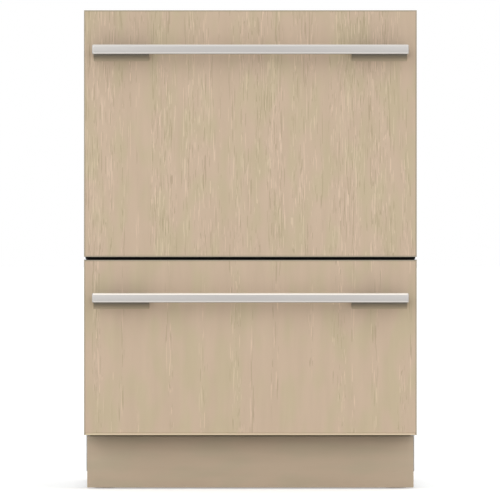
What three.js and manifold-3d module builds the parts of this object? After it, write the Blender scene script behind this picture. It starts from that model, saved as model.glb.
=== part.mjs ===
// Double dishwasher drawer for a kitchen cabinet run: a tall upper drawer and a lower drawer, each
// a tub behind a wooden front panel with a square metal bar handle, sliding out of one steel chassis.
// Millimetres, +X to the right seen from the front, +Y to the back, +Z up, floor at Z = 0.
// Inside this file Y = 0 is the back face of the wooden front panels; the whole model is shifted
// along Y at the end, so that its origin lies under the middle of its box.
import * as THREE from "three";
import { mergeVertices } from "three/addons/utils/BufferGeometryUtils.js";
import Module from "manifold-3d";

const wasm = await Module();
wasm.setup();

// ---------------------------------------------------------------- driving dimensions
// Fits
const SEAT_GAP = 0.3; // between pieces that are fastened or rest face to face
const SLIDE_GAP = 0.6; // between pieces that slide or turn in each other
const PIVOT_GAP = 0.8; // room round the flap's turning corner
const OVERLAP = 1; // how far joined shapes run into each other, and cutters past a face

// Front
const HEIGHT = 863; // floor to the top edge of the upper front panel
const PANEL_WIDTH = 599;
const PANEL_THICKNESS = 20;
const PANEL_CHAMFER = 0.8;
const BOTTOM_PANEL_HEIGHT = 316;
const TOE_SPACE = 98; // floor to the lower front panel
const PANEL_GAP = 5; // shadow gap between the two panels
const FRAME_DEPTH = 29.4; // inner door behind each wooden panel
const FRAME_TOP_DROP = 10; // upper inner door's top edge below its panel's top edge
const FRAME_LOW_TOP_DROP = 4;
const FRAME_LOW_BOTTOM_RISE = 2;
const FRAME_PASS_GAP = 1; // between the upper inner door and the lower front as it slides out
const KICK_RECESS = 50; // from the panels' front to the kickboard's front
const KICK_INSET = 4.5; // kickboard's ends inside the panels' ends
const KICK_THICKNESS = 16;
const KICK_FLOOR_GAP = 2;
const KICK_TOP_GAP = 3; // under the lower panel

// Handles
const HANDLE_INSET = 15.5; // bar's ends inside the panel's ends
const HANDLE_HEIGHT = 17;
const HANDLE_BAR_DEPTH = 12;
const HANDLE_REACH = 28; // clear finger gap behind the bar
const HANDLE_CHAMFER = 1.2;
const BRACKET_WIDTH = 100;
const BRACKET_HEIGHT = 14;
const BRACKET_DROP = 3; // bracket's underside below the bar's
const BRACKET_END_INSET = 2;
const TOP_HANDLE_DROP = 63; // panel's top edge to the bar's top
const BOTTOM_HANDLE_DROP = 60;

// Chassis
const CHASSIS_INSET = 2; // chassis inside the panels' ends, each side
const CHASSIS_DEPTH = 521;
const CHASSIS_FRONT_GAP = 2; // inner door to the chassis's front edge
const BENCH_GAP = 3; // chassis top below the panel's top edge
const SHEET = 1.5;
const TOE_NOTCH_DEPTH = 45; // side sheets cut back over the toe space
const SWAGE_DEPTH = 0.7; // pressed lines in the side sheets
const SWAGE_WIDTH = 12;
const SWAGE_MARGIN = 40;
const SWAGE_COUNT = 4;
const REAR_PANEL_BOTTOM = 105; // open below it for the water and mains connections
const VENT_COUNT = 6;
const VENT_WIDTH = 60;
const VENT_HEIGHT = 5;
const VENT_PITCH = 14;
const VENT_TOP_DROP = 60;
const BRACE_DEPTH = 26;
const BRACE_SETBACK = 2; // cross braces behind the chassis's front edge
const CENTRE_BRACE_HEIGHT = 10;
const TOP_BRACE_HEIGHT = 4;
const SHELF_TO_PANEL_DROP = 3; // centre shelf's underside below the lower panel's top edge
const SHELF_REAR_GAP = 26; // room for the hoses behind the shelf
const BASE_BOTTOM = 30; // base plate above the floor
const BASE_THICKNESS = 14;

// Feet
const FOOT_RADIUS = 22;
const FOOT_PAD_HEIGHT = 9;
const FOOT_NUT_RADIUS = 10;
const FOOT_STEM_RADIUS = 5;
const FOOT_TRAVEL = 47;
const FOOT_SIDE_INSET = 32;
const FOOT_FRONT_INSET = 60;
const FOOT_REAR_INSET = 45;

// Connections at the back
const VALVE_INSET = 106; // inlet valve's axis to the left side sheet
const VALVE_WIDTH = 36;
const VALVE_DEPTH = 44;
const VALVE_HEIGHT = 34;
const VALVE_PORT_RADIUS = 13.2; // three-quarter inch hose thread
const VALVE_PORT_LENGTH = 16;
const VALVE_PORT_WALL = 4;
const COIL_RADIUS = 12;
const COIL_HEIGHT = 18;
const BOSS_HEIGHT = 34;
const BOSS_DEPTH = 30;
const BOSS_WIDTH = 40;
const DRAIN_INSET = 186; // drain spigot's axis to the left side sheet
const DRAIN_SPIGOT_RADIUS = 10;
const GLAND_INSET = 96; // mains inlet's axis to the right side sheet
const GLAND_RADIUS = 9;
const SPIGOT_LENGTH = 20;
const SPIGOT_WALL = 3;

// Tub
const RUNNER_ROOM = 22; // tub's wall to the side sheet
const TUB_WALL = 3;
const TUB_CORNER_RADIUS = 45;
const TUB_FILLET = 22;
const TUB_REAR_GAP = 31.5; // tub's back to the rear sheet, for the hoses
const TUB_FLANGE_WIDTH = 9;
const TUB_FLANGE_HEIGHT = 9;
const SHELF_CLEARANCE = 41.6; // upper pump's underside above the centre shelf's underside
const FLOOR_FALL = 2; // floor slopes to the sump
const SUMP_RADIUS = 112;
const SUMP_DEPTH = 18;
const SUMP_LEDGE = 7; // ring the filter plate rests on
const PUMP_GAP = 4; // lower pump to the kickboard as the drawer slides over it
const PUMP_RADIUS = 68;
const PUMP_HEIGHT = 40;
const PUMP_OUTLET_RADIUS = 11;
const PUMP_OUTLET_REACH = 30;
const POST_RADIUS = 12;
const POST_RISE = 16; // spray arm post above the tub floor

// Lids
const LID_THICKNESS = 8;
const LID_TRAVEL = 12;
const LID_HEADROOM = 4; // raised lid to the brace above it
const LID_SIDE_GAP = 0.8;
const SEAL_HEIGHT = 8;
const SEAL_WIDTH = 10;
const SEAL_INSET = 1; // seal's outside inside the tub's rim
const LUG_WIDTH = 24;
const LUG_REACH = 14;
const ACTUATOR_WIDTH = 64;
const ACTUATOR_HEIGHT = 76;
const ACTUATOR_DEPTH = 20;
const LUG_SLOT_DEPTH = 9;

// Runners: three nested members on each side
const RUNNER_GAUGE = 1.5;
const RUNNER_HEIGHT = 46;
const RUNNER_DEPTH = 13;
const RUNNER_FRONT_INSET = 4;
const RUNNER_ABOVE_FLOOR = 60; // runner's middle above the tub floor
const CROSSBAR_THICKNESS = 2.5;
const RUNNER_BOSS_HEIGHT = 24;
const RUNNER_BOSS_INSET = 50;

// Filter plate and spray arm
const FILTER_PLATE_THICKNESS = 4;
const FILTER_PLATE_GAP = 0.8;
const FILTER_CAP_RADIUS = 24;
const FILTER_CAP_HEIGHT = 7;
const FILTER_CAP_OFFSET = 66;
const ARM_LENGTH = 196; // hub's axis to the tip
const ARM_ROOT_WIDTH = 48;
const ARM_TIP_WIDTH = 30;
const ARM_SWEEP = 0.42; // radians that each half curves through
const ARM_THICKNESS = 11;
const ARM_BEVEL = 2;
const ARM_HUB_RADIUS = 23;
const ARM_HUB_HEIGHT = 24;
const ARM_ABOVE_FLOOR = 12; // underside of the hub

// Racks
const RACK_WALL_GAP = 16; // rack to the tub's inner wall
const WIRE_RADIUS = 2.2;
const WIRE_BITE = 0.5; // how far crossing wires sink into each other at the weld
const RACK_ABOVE_FLOOR = 55;
const TOP_RACK_DROP = 160; // tub's rim to the rack's top rail
const BOTTOM_RACK_DROP = 113.1;
const RACK_CROSS_WIRES = 7;
const RACK_WIRE_SPACING = 76; // the widest between lengthwise wires, under the cutlery basket
const LEG_INSET = 34;
const REST_HEIGHT = 3; // rests on the upper tub's floor under the rack's legs
const REST_RADIUS = 8;
const TINE_HEIGHT = 64;
const TINE_RADIUS = 1.8;
const UPRIGHT_RADIUS = 2;
const TINE_COUNT = 8;
const TINE_END_MARGIN = 66;
const TINE_ROWS = { fixed: [2, 4], folding: 3 }; // at these long wires, counted from the left
const CUP_SHELF_WIDTH = 84;
const CUP_SHELF_LENGTH = 330;
const CUP_SHELF_BAR = 5;
const CUP_SHELF_SLATS = 9;
const CUP_SHELF_SLAT_STEP = 0.5; // slats thinner than the bars, above and below
const CUTLERY_WIDTH = 66;
const CUTLERY_LENGTH = 228;
const CUTLERY_HEIGHT = 112;
const CUTLERY_WALL = 2.4;
const CUTLERY_CELLS = 3;
const CUTLERY_GRIP_RISE = 24;
const CUTLERY_GRIP_LENGTH = 62;
const CUTLERY_WINDOW_WIDTH = 22;
const CUTLERY_WINDOW_HEIGHT = 66;
const CUTLERY_SIDE_GAP = 8;

// Detergent dispenser on the tub's front wall
const DISPENSER_X = 118;
const DISPENSER_WIDTH = 160;
const DISPENSER_HEIGHT = 78;
const DISPENSER_DEPTH = 25;
const DISPENSER_RIM_DROP = 12;
const FLAP_WIDTH = 92;
const FLAP_HEIGHT = 50;
const FLAP_THICKNESS = 3;
const FLAP_SIDE_MARGIN = 10;
const FLAP_BOTTOM_MARGIN = 12;
const CUP_MARGIN = 6; // detergent cup's edge inside the flap's edge
const CUP_DEPTH = 15;
const RINSE_CAP_RADIUS = 15;
const RINSE_CAP_RISE = 4;

// Push buttons on the inner door's top edge
const BUTTON_LENGTH = 24;
const BUTTON_DEPTH = 13;
const BUTTON_HEIGHT = 6;
const BUTTON_PROUD = 1.6;
const BUTTON_GAP = 0.4;
const POCKET_DEPTH = 7;
const POWER_BUTTON_X = -150;
const START_BUTTON_X = 150;

// ---------------------------------------------------------------- levels and planes worked out from them
const bottomPanelBottom = TOE_SPACE;
const bottomPanelTop = bottomPanelBottom + BOTTOM_PANEL_HEIGHT;
const topPanelBottom = bottomPanelTop + PANEL_GAP;
const frameBack = SEAT_GAP + FRAME_DEPTH;
const chassisFront = frameBack + CHASSIS_FRONT_GAP;
const chassisRear = chassisFront + CHASSIS_DEPTH;
const chassisTop = HEIGHT - BENCH_GAP;
const chassisHalf = PANEL_WIDTH / 2 - CHASSIS_INSET;
const insideHalf = chassisHalf - SHEET;
const insideRear = chassisRear - SHEET;
const panelFront = -PANEL_THICKNESS;
const handleBack = panelFront - HANDLE_REACH;
const handleFront = handleBack - HANDLE_BAR_DEPTH;
const handleLength = PANEL_WIDTH - 2 * HANDLE_INSET;
const kickWidth = PANEL_WIDTH - 2 * KICK_INSET;
const kickFront = panelFront + KICK_RECESS;
const kickBack = kickFront + KICK_THICKNESS;
const kickTop = bottomPanelBottom - KICK_TOP_GAP;
const baseTop = BASE_BOTTOM + BASE_THICKNESS;
const shelfBottom = bottomPanelTop - SHELF_TO_PANEL_DROP;
const tubFront = frameBack + SEAT_GAP;
const tubRear = insideRear - TUB_REAR_GAP;
const tubCentreY = (tubFront + tubRear) / 2;
const tubHalfX = insideHalf - RUNNER_ROOM;
const tubHalfY = (tubRear - tubFront) / 2;
const tubInnerHalfX = tubHalfX - TUB_WALL;
const tubInnerHalfY = tubHalfY - TUB_WALL;
const braceFront = chassisFront + BRACE_SETBACK;
const lidFront = frameBack + SLIDE_GAP;
const lidRear = tubRear + SLIDE_GAP;
const runnerFront = chassisFront + RUNNER_FRONT_INSET;
const runnerRear = tubRear + SEAT_GAP + CROSSBAR_THICKNESS;
const runnerOutside = insideHalf - SEAT_GAP; // outer member's back, against the side sheet
const runnerInside = runnerOutside - RUNNER_DEPTH; // inner member's web, against the tub's bosses
const topLidBottom = chassisTop - SHEET - TOP_BRACE_HEIGHT - LID_HEADROOM / 2 - LID_THICKNESS;
const bottomLidBottom = shelfBottom - LID_HEADROOM - LID_THICKNESS;
const topRim = topLidBottom - SEAT_GAP - SEAL_HEIGHT - LID_TRAVEL - SEAT_GAP;
const bottomRim = bottomLidBottom - SEAT_GAP - SEAL_HEIGHT - LID_TRAVEL - SEAT_GAP;
const underFloor = SUMP_DEPTH + TUB_WALL + SEAT_GAP + PUMP_HEIGHT; // pump's underside below the floor
const topTubDepth = topRim - (shelfBottom + SHELF_CLEARANCE) - underFloor;
const bottomTubDepth = bottomRim - (kickTop + PUMP_GAP) - underFloor;
const rackHalfX = tubInnerHalfX - RACK_WALL_GAP;
const rackHalfY = tubInnerHalfY - RACK_WALL_GAP;

// ---------------------------------------------------------------- materials
const paint = (color, roughness, metalness = 0) =>
  new THREE.MeshStandardMaterial({ color, roughness, metalness });
const oak = paint(0xc7b499, 0.6);
const kickOak = paint(0xb09d85, 0.65);
const aluminium = paint(0xc8c6c3, 0.3, 0.9);
const bracketPaint = paint(0x6b6763, 0.45, 0.6);
const galvanised = paint(0xa9adb0, 0.45, 0.8);
const runnerSteel = paint(0xb8bbbe, 0.3, 0.9);
const blackPlastic = paint(0x161616, 0.5);
const greyPlastic = paint(0x9a9fa3, 0.5);
const palePlastic = paint(0xc9ccce, 0.45);
const darkPlastic = paint(0x4a4e52, 0.5);
const buttonPlastic = paint(0x2b2d30, 0.35);
const rubber = paint(0x35373a, 0.85);
const coatedWire = paint(0xb6bcc2, 0.4);
const whitePlastic = paint(0xe6e6e2, 0.5);

// ---------------------------------------------------------------- solid helpers
// A closed geometry as a solid that can be joined and cut.
function solid(geometry) {
  const bare = new THREE.BufferGeometry();
  bare.setAttribute("position", geometry.getAttribute("position"));
  bare.setIndex(geometry.getIndex());
  const merged = mergeVertices(bare, 1e-4);
  return new wasm.Manifold(
    new wasm.Mesh({
      numProp: 3,
      vertProperties: merged.getAttribute("position").array,
      triVerts: new Uint32Array(merged.getIndex().array),
    }),
  );
}

// A solid as a named mesh.
function piece(name, shape, material) {
  const { vertProperties, triVerts } = shape.getMesh();
  const geometry = new THREE.BufferGeometry();
  geometry.setAttribute("position", new THREE.BufferAttribute(vertProperties, 3));
  geometry.setIndex(new THREE.BufferAttribute(triVerts, 1));
  const flat = geometry.toNonIndexed();
  flat.computeVertexNormals();
  const mesh = new THREE.Mesh(flat, material);
  mesh.name = name;
  return mesh;
}

function joined(shapes) {
  return shapes.reduce((whole, shape) => whole.add(shape));
}

function block(x0, x1, y0, y1, z0, z1) {
  const box = new THREE.BoxGeometry(x1 - x0, y1 - y0, z1 - z0);
  return solid(box.translate((x0 + x1) / 2, (y0 + y1) / 2, (z0 + z1) / 2));
}

// A round bar from one point to another.
function rod(from, to, radius, sides = 6) {
  const a = new THREE.Vector3(...from);
  const b = new THREE.Vector3(...to);
  const axis = b.clone().sub(a);
  const turn = new THREE.Quaternion().setFromUnitVectors(
    new THREE.Vector3(0, 1, 0),
    axis.clone().normalize(),
  );
  const bar = new THREE.CylinderGeometry(radius, radius, axis.length(), sides);
  bar.applyQuaternion(turn);
  bar.translate((a.x + b.x) / 2, (a.y + b.y) / 2, (a.z + b.z) / 2);
  return solid(bar);
}

// A block with its edges broken all round: an outline in X and Z, pushed along Y.
function chamferedBlock(width, depth, height, chamfer) {
  const w = width / 2 - chamfer;
  const h = height / 2 - chamfer;
  const outline = new THREE.Shape([
    new THREE.Vector2(-w, -h),
    new THREE.Vector2(w, -h),
    new THREE.Vector2(w, h),
    new THREE.Vector2(-w, h),
  ]);
  const body = new THREE.ExtrudeGeometry(outline, {
    depth: depth - 2 * chamfer,
    bevelThickness: chamfer,
    bevelSize: chamfer,
    bevelSegments: 1,
  });
  body.translate(0, 0, chamfer - depth / 2);
  body.rotateX(Math.PI / 2);
  return solid(body);
}

// One level of a lofted shell: a rectangle with round corners, anticlockwise from above.
function ring(halfX, halfY, radius, z, steps = 5) {
  const corners = [
    [1, 1],
    [-1, 1],
    [-1, -1],
    [1, -1],
  ];
  const points = [];
  corners.forEach(([sx, sy], corner) => {
    for (let i = 0; i <= steps; i++) {
      const angle = (Math.PI / 2) * (corner + i / steps);
      const x = sx * (halfX - radius) + radius * Math.cos(angle);
      const y = sy * (halfY - radius) + radius * Math.sin(angle);
      points.push(new THREE.Vector3(x, y, z));
    }
  });
  return points;
}

// A round level with as many points as the rectangular ones.
function roundRing(radius, z) {
  const hairline = 0.5; // keeps the four quarters' end points apart
  return ring(radius, radius, radius - hairline, z);
}

// A closed body through a stack of levels, capped at the first and the last.
function loft(levels) {
  const count = levels[0].length;
  const corners = [];
  const add = (...points) => points.forEach((p) => corners.push(p.x, p.y, p.z));
  const cap = (level, facingUp) => {
    const centre = level.reduce((sum, p) => sum.add(p), new THREE.Vector3());
    centre.divideScalar(count);
    for (let i = 0; i < count; i++) {
      const a = level[i];
      const b = level[(i + 1) % count];
      if (facingUp) add(centre, a, b);
      else add(centre, b, a);
    }
  };
  cap(levels[0], false);
  for (let k = 0; k + 1 < levels.length; k++) {
    for (let i = 0; i < count; i++) {
      const j = (i + 1) % count;
      const low = levels[k];
      const high = levels[k + 1];
      add(low[i], low[j], high[j]);
      add(low[i], high[j], high[i]);
    }
  }
  cap(levels[levels.length - 1], true);
  const body = new THREE.BufferGeometry();
  body.setAttribute("position", new THREE.Float32BufferAttribute(corners, 3));
  return solid(body);
}

// A level pulled in along a quarter round, from an upright wall to a flat floor.
function filletLevels(halfX, halfY, corner, floorZ, radius, inward, steps = 3) {
  const levels = [];
  for (let i = 0; i <= steps; i++) {
    const angle = (Math.PI / 2) * (i / steps);
    const pull = radius * (1 - Math.cos(angle));
    const z = floorZ + radius * (1 - Math.sin(angle));
    levels.push(ring(halfX - pull, halfY - pull, Math.max(corner - pull, 1), z));
  }
  return inward ? levels : levels.reverse();
}

// ---------------------------------------------------------------- chassis
function sideSheet(side) {
  const profile = new THREE.Shape([
    new THREE.Vector2(chassisFront + TOE_NOTCH_DEPTH, BASE_BOTTOM),
    new THREE.Vector2(chassisRear, BASE_BOTTOM),
    new THREE.Vector2(chassisRear, chassisTop - SHEET - SEAT_GAP),
    new THREE.Vector2(chassisFront, chassisTop - SHEET - SEAT_GAP),
    new THREE.Vector2(chassisFront, bottomPanelBottom),
    new THREE.Vector2(chassisFront + TOE_NOTCH_DEPTH, bottomPanelBottom),
  ]);
  const sheet = new THREE.ExtrudeGeometry(profile, { depth: SHEET, bevelEnabled: false });
  sheet.rotateY(Math.PI / 2);
  sheet.rotateX(Math.PI / 2);
  sheet.translate(-SHEET / 2, 0, 0);
  let shape = solid(sheet);
  const outer = (side * SHEET) / 2;
  const inner = outer - side * SWAGE_DEPTH;
  const step = (chassisTop - bottomPanelBottom) / (SWAGE_COUNT + 1);
  for (let i = 1; i <= SWAGE_COUNT; i++) {
    const z = bottomPanelBottom + i * step;
    shape = shape.subtract(
      block(
        Math.min(inner, outer + side),
        Math.max(inner, outer + side),
        chassisFront + SWAGE_MARGIN,
        chassisRear - SWAGE_MARGIN,
        z - SWAGE_WIDTH / 2,
        z + SWAGE_WIDTH / 2,
      ),
    );
  }
  const mesh = piece(side < 0 ? "left_side_sheet" : "right_side_sheet", shape, galvanised);
  mesh.position.x = side * (chassisHalf - SHEET / 2);
  return mesh;
}

function rearSheet() {
  const half = insideHalf - SEAT_GAP;
  const top = chassisTop - SHEET - SEAT_GAP;
  let shape = block(-half, half, insideRear, chassisRear, REAR_PANEL_BOTTOM, top);
  for (let i = 0; i < VENT_COUNT; i++) {
    const z = top - VENT_TOP_DROP - i * VENT_PITCH;
    [-1, 1].forEach((side) => {
      const x = side * (half / 2);
      shape = shape.subtract(
        block(
          x - VENT_WIDTH / 2,
          x + VENT_WIDTH / 2,
          insideRear - OVERLAP,
          chassisRear + OVERLAP,
          z - VENT_HEIGHT / 2,
          z + VENT_HEIGHT / 2,
        ),
      );
    });
  }
  return piece("rear_sheet", shape, galvanised);
}

function topSheet() {
  const under = chassisTop - SHEET;
  const half = insideHalf - SEAT_GAP;
  const sheet = block(-chassisHalf, chassisHalf, chassisFront, chassisRear, under, chassisTop);
  const brace = block(
    -half,
    half,
    braceFront,
    braceFront + BRACE_DEPTH,
    under - TOP_BRACE_HEIGHT,
    under + SHEET / 2,
  );
  return piece("top_sheet", sheet.add(brace), galvanised);
}

function centreShelf() {
  const half = insideHalf - SEAT_GAP;
  const rear = insideRear - SHELF_REAR_GAP;
  const sheet = block(-half, half, braceFront, rear, shelfBottom, shelfBottom + SHEET);
  const brace = block(
    -half,
    half,
    braceFront,
    braceFront + BRACE_DEPTH,
    shelfBottom,
    shelfBottom + CENTRE_BRACE_HEIGHT,
  );
  return piece("centre_shelf", sheet.add(brace), blackPlastic);
}

const footPlaces = [
  ["foot_front_left", -1, chassisFront + FOOT_FRONT_INSET],
  ["foot_front_right", 1, chassisFront + FOOT_FRONT_INSET],
  ["foot_rear_left", -1, chassisRear - FOOT_REAR_INSET],
  ["foot_rear_right", 1, chassisRear - FOOT_REAR_INSET],
];
const footX = insideHalf - FOOT_SIDE_INSET;

function basePlate() {
  const half = insideHalf - SEAT_GAP;
  let shape = block(-half, half, kickBack + SEAT_GAP, insideRear, BASE_BOTTOM, baseTop);
  footPlaces.forEach(([, side, y]) => {
    const from = [side * footX, y, BASE_BOTTOM - OVERLAP];
    const to = [side * footX, y, baseTop + OVERLAP];
    shape = shape.subtract(rod(from, to, FOOT_STEM_RADIUS + SLIDE_GAP, 12));
  });
  const spigot = (x, radius) => {
    const z = baseTop + BOSS_HEIGHT / 2;
    const bossRear = chassisRear - SPIGOT_LENGTH;
    const boss = block(
      x - BOSS_WIDTH / 2,
      x + BOSS_WIDTH / 2,
      bossRear - BOSS_DEPTH,
      bossRear,
      BASE_BOTTOM + BASE_THICKNESS / 2,
      baseTop + BOSS_HEIGHT,
    );
    const pipe = rod([x, bossRear - OVERLAP, z], [x, chassisRear, z], radius, 16);
    const bore = rod([x, bossRear, z], [x, chassisRear + OVERLAP, z], radius - SPIGOT_WALL, 12);
    return boss.add(pipe).subtract(bore);
  };
  shape = shape.add(spigot(DRAIN_INSET - insideHalf, DRAIN_SPIGOT_RADIUS));
  shape = shape.add(spigot(insideHalf - GLAND_INSET, GLAND_RADIUS));
  return piece("base_plate", shape, darkPlastic);
}

function waterInletValve() {
  const bottom = baseTop + SEAT_GAP;
  const portFront = chassisRear - VALVE_PORT_LENGTH;
  const z = bottom + VALVE_HEIGHT / 2;
  const body = block(
    -VALVE_WIDTH / 2,
    VALVE_WIDTH / 2,
    portFront - VALVE_DEPTH,
    portFront,
    bottom,
    bottom + VALVE_HEIGHT,
  );
  const boreRadius = VALVE_PORT_RADIUS - VALVE_PORT_WALL;
  const port = rod([0, portFront - OVERLAP, z], [0, chassisRear, z], VALVE_PORT_RADIUS, 16);
  const bore = rod([0, portFront, z], [0, chassisRear + OVERLAP, z], boreRadius, 12);
  const coilY = portFront - VALVE_DEPTH / 2;
  const coilTop = bottom + VALVE_HEIGHT + COIL_HEIGHT;
  const coilFoot = coilTop - COIL_HEIGHT - OVERLAP;
  const coil = rod([0, coilY, coilFoot], [0, coilY, coilTop], COIL_RADIUS, 16);
  const mesh = piece("water_inlet_valve", joined([body, port, coil]).subtract(bore), whitePlastic);
  mesh.position.x = VALVE_INSET - insideHalf;
  return mesh;
}

function kickboard() {
  const height = kickTop - KICK_FLOOR_GAP;
  const shape = chamferedBlock(kickWidth, KICK_THICKNESS, height, PANEL_CHAMFER);
  const mesh = piece("kickboard", shape, kickOak);
  mesh.position.set(0, (kickFront + kickBack) / 2, KICK_FLOOR_GAP + height / 2);
  return mesh;
}

// A levelling foot, drawn with its pad on the floor and screwed fully in.
function foot([name, side, y]) {
  const nutTop = BASE_BOTTOM - SEAT_GAP;
  const stemTop = baseTop + FOOT_TRAVEL + BASE_THICKNESS / 2;
  const pad = rod([0, 0, 0], [0, 0, FOOT_PAD_HEIGHT], FOOT_RADIUS, 20);
  const nut = rod([0, 0, FOOT_PAD_HEIGHT - OVERLAP], [0, 0, nutTop], FOOT_NUT_RADIUS, 6);
  const stem = rod([0, 0, FOOT_PAD_HEIGHT], [0, 0, stemTop], FOOT_STEM_RADIUS, 12);
  const mesh = piece(name, joined([pad, nut, stem]), darkPlastic);
  mesh.position.set(side * footX, y, 0);
  return mesh;
}

// ---------------------------------------------------------------- runners
// The section of one member, as an open channel: its web at x0 and its lips reaching to x1.
function channel(x0, x1, halfHeight, y0, y1) {
  const [low, high] = x0 < x1 ? [x0, x1] : [x1, x0];
  const outside = block(low, high, y0, y1, -halfHeight, halfHeight);
  const hollowHalf = halfHeight - RUNNER_GAUGE;
  const webAtLow = x0 < x1;
  const hollow = block(
    webAtLow ? low + RUNNER_GAUGE : low - OVERLAP,
    webAtLow ? high + OVERLAP : high - RUNNER_GAUGE,
    y0 - OVERLAP,
    y1 + OVERLAP,
    -hollowHalf,
    hollowHalf,
  );
  return outside.subtract(hollow);
}

const memberStep = RUNNER_GAUGE + SLIDE_GAP;
const lipEnd = runnerInside + RUNNER_GAUGE;

function runnerMember(name, side, nesting, material) {
  const half = RUNNER_HEIGHT / 2 - nesting * memberStep;
  const web = side * (runnerOutside - nesting * memberStep);
  return piece(name, channel(web, side * lipEnd, half, runnerFront, runnerRear), material);
}

// The two inner members and the bar that ties them behind the tub.
function carriage(name) {
  const half = RUNNER_HEIGHT / 2 - 2 * memberStep;
  const lip = runnerOutside - 2 * memberStep;
  const members = [-1, 1].map((side) =>
    channel(side * runnerInside, side * lip, half, runnerFront, runnerRear),
  );
  const bar = block(
    -runnerInside - RUNNER_GAUGE,
    runnerInside + RUNNER_GAUGE,
    runnerRear - CROSSBAR_THICKNESS,
    runnerRear,
    -half,
    half,
  );
  return piece(name, joined([...members, bar]), runnerSteel);
}

// ---------------------------------------------------------------- lids
function lid(name) {
  const half = insideHalf - LID_SIDE_GAP;
  const slab = block(-half, half, lidFront, lidRear, 0, LID_THICKNESS);
  const lug = block(
    -LUG_WIDTH / 2,
    LUG_WIDTH / 2,
    lidRear - OVERLAP,
    lidRear + LUG_REACH,
    0,
    LID_THICKNESS,
  );
  return piece(name, slab.add(lug), palePlastic);
}

// A ring under the lid that meets the tub's rim.
function lidSeal(name) {
  const reachX = tubHalfX + TUB_FLANGE_WIDTH - SEAL_INSET;
  const reachY = tubHalfY - SEAL_INSET;
  const corner = TUB_CORNER_RADIUS;
  const ringSolid = (inset, past) =>
    loft([
      ring(reachX - inset, reachY - inset, corner - inset, -past),
      ring(reachX - inset, reachY - inset, corner - inset, SEAL_HEIGHT + past),
    ]);
  const mesh = piece(name, ringSolid(0, 0).subtract(ringSolid(SEAL_WIDTH, OVERLAP)), rubber);
  mesh.position.set(0, tubCentreY, -SEAT_GAP - SEAL_HEIGHT);
  return mesh;
}

// The geared motor on the rear sheet that holds the lid's lug and moves it up and down.
function lidActuator(name) {
  const half = ACTUATOR_WIDTH / 2;
  const rear = insideRear - SEAT_GAP;
  const front = rear - ACTUATOR_DEPTH;
  const top = LID_THICKNESS + SLIDE_GAP;
  const body = block(-half, half, front, rear, top - ACTUATOR_HEIGHT, top);
  const slotHalf = LUG_WIDTH / 2 + SLIDE_GAP;
  const slot = block(
    -slotHalf,
    slotHalf,
    front - OVERLAP,
    front + LUG_SLOT_DEPTH,
    -LID_TRAVEL - SLIDE_GAP,
    top + OVERLAP,
  );
  return piece(name, body.subtract(slot), darkPlastic);
}

// ---------------------------------------------------------------- rack grid
// Wires run front to back at these places across the rack.
const longGaps = Math.ceil((2 * rackHalfX) / RACK_WIRE_SPACING);
const lengthwiseX = Array.from(
  { length: longGaps + 1 },
  (_, i) => -rackHalfX + (2 * rackHalfX * i) / longGaps,
);
// Lengthwise wires lie on the crosswise wires, this far above them from middle to middle.
const wireStack = 2 * WIRE_RADIUS * Math.cos(Math.PI / 6) - WIRE_BITE;
const crosswiseY = Array.from(
  { length: RACK_CROSS_WIRES },
  (_, i) => -rackHalfY + (2 * rackHalfY * i) / (RACK_CROSS_WIRES - 1),
);
const tineY = Array.from(
  { length: TINE_COUNT },
  (_, i) => -rackHalfY + TINE_END_MARGIN + (2 * (rackHalfY - TINE_END_MARGIN) * i) / (TINE_COUNT - 1),
);
const legX = rackHalfX - LEG_INSET;
const legPlaces = [-legX, legX].flatMap((x) => [
  [x, crosswiseY.at(1)],
  [x, crosswiseY.at(-2)],
]);

// ---------------------------------------------------------------- drawer: tub and what hangs from it
function tub(name, depth, restHeight) {
  const corner = TUB_CORNER_RADIUS;
  const innerCorner = corner - TUB_WALL;
  const floor = -depth;
  const under = floor - TUB_WALL;
  const sumpBottom = floor - SUMP_DEPTH;
  const ledge = floor - FLOOR_FALL - FILTER_PLATE_THICKNESS - SEAT_GAP;
  const flangeX = tubHalfX + TUB_FLANGE_WIDTH;
  const shell = loft([
    roundRing(SUMP_RADIUS + TUB_WALL, sumpBottom - TUB_WALL),
    roundRing(SUMP_RADIUS + TUB_WALL, under - FLOOR_FALL),
    ...filletLevels(tubHalfX, tubHalfY, corner, under, TUB_FILLET, false),
    ring(tubHalfX, tubHalfY, corner, -TUB_FLANGE_HEIGHT),
    ring(flangeX, tubHalfY, corner, -TUB_FLANGE_HEIGHT),
    ring(flangeX, tubHalfY, corner, 0),
    ring(tubInnerHalfX, tubInnerHalfY, innerCorner, 0),
    ...filletLevels(tubInnerHalfX, tubInnerHalfY, innerCorner, floor, TUB_FILLET, true),
    roundRing(SUMP_RADIUS, floor - FLOOR_FALL),
    roundRing(SUMP_RADIUS, ledge),
    roundRing(SUMP_RADIUS - SUMP_LEDGE, ledge),
    roundRing(SUMP_RADIUS - SUMP_LEDGE, sumpBottom),
  ]);
  const post = rod([0, 0, sumpBottom - OVERLAP], [0, 0, floor + POST_RISE], POST_RADIUS, 16);
  const runnerZ = floor + RUNNER_ABOVE_FLOOR;
  const bosses = [-1, 1].map((side) => {
    const near = side * (tubHalfX - TUB_WALL / 2);
    const far = side * (runnerInside - SEAT_GAP);
    return block(
      Math.min(near, far),
      Math.max(near, far),
      RUNNER_BOSS_INSET - tubHalfY,
      tubHalfY - RUNNER_BOSS_INSET,
      runnerZ - RUNNER_BOSS_HEIGHT / 2,
      runnerZ + RUNNER_BOSS_HEIGHT / 2,
    );
  });
  const rests = (restHeight ? legPlaces : []).map(([x, y]) =>
    rod([x, y, floor - FLOOR_FALL], [x, y, floor + restHeight], REST_RADIUS, 16),
  );
  return piece(name, joined([shell, post, ...bosses, ...rests]), greyPlastic);
}

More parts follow.
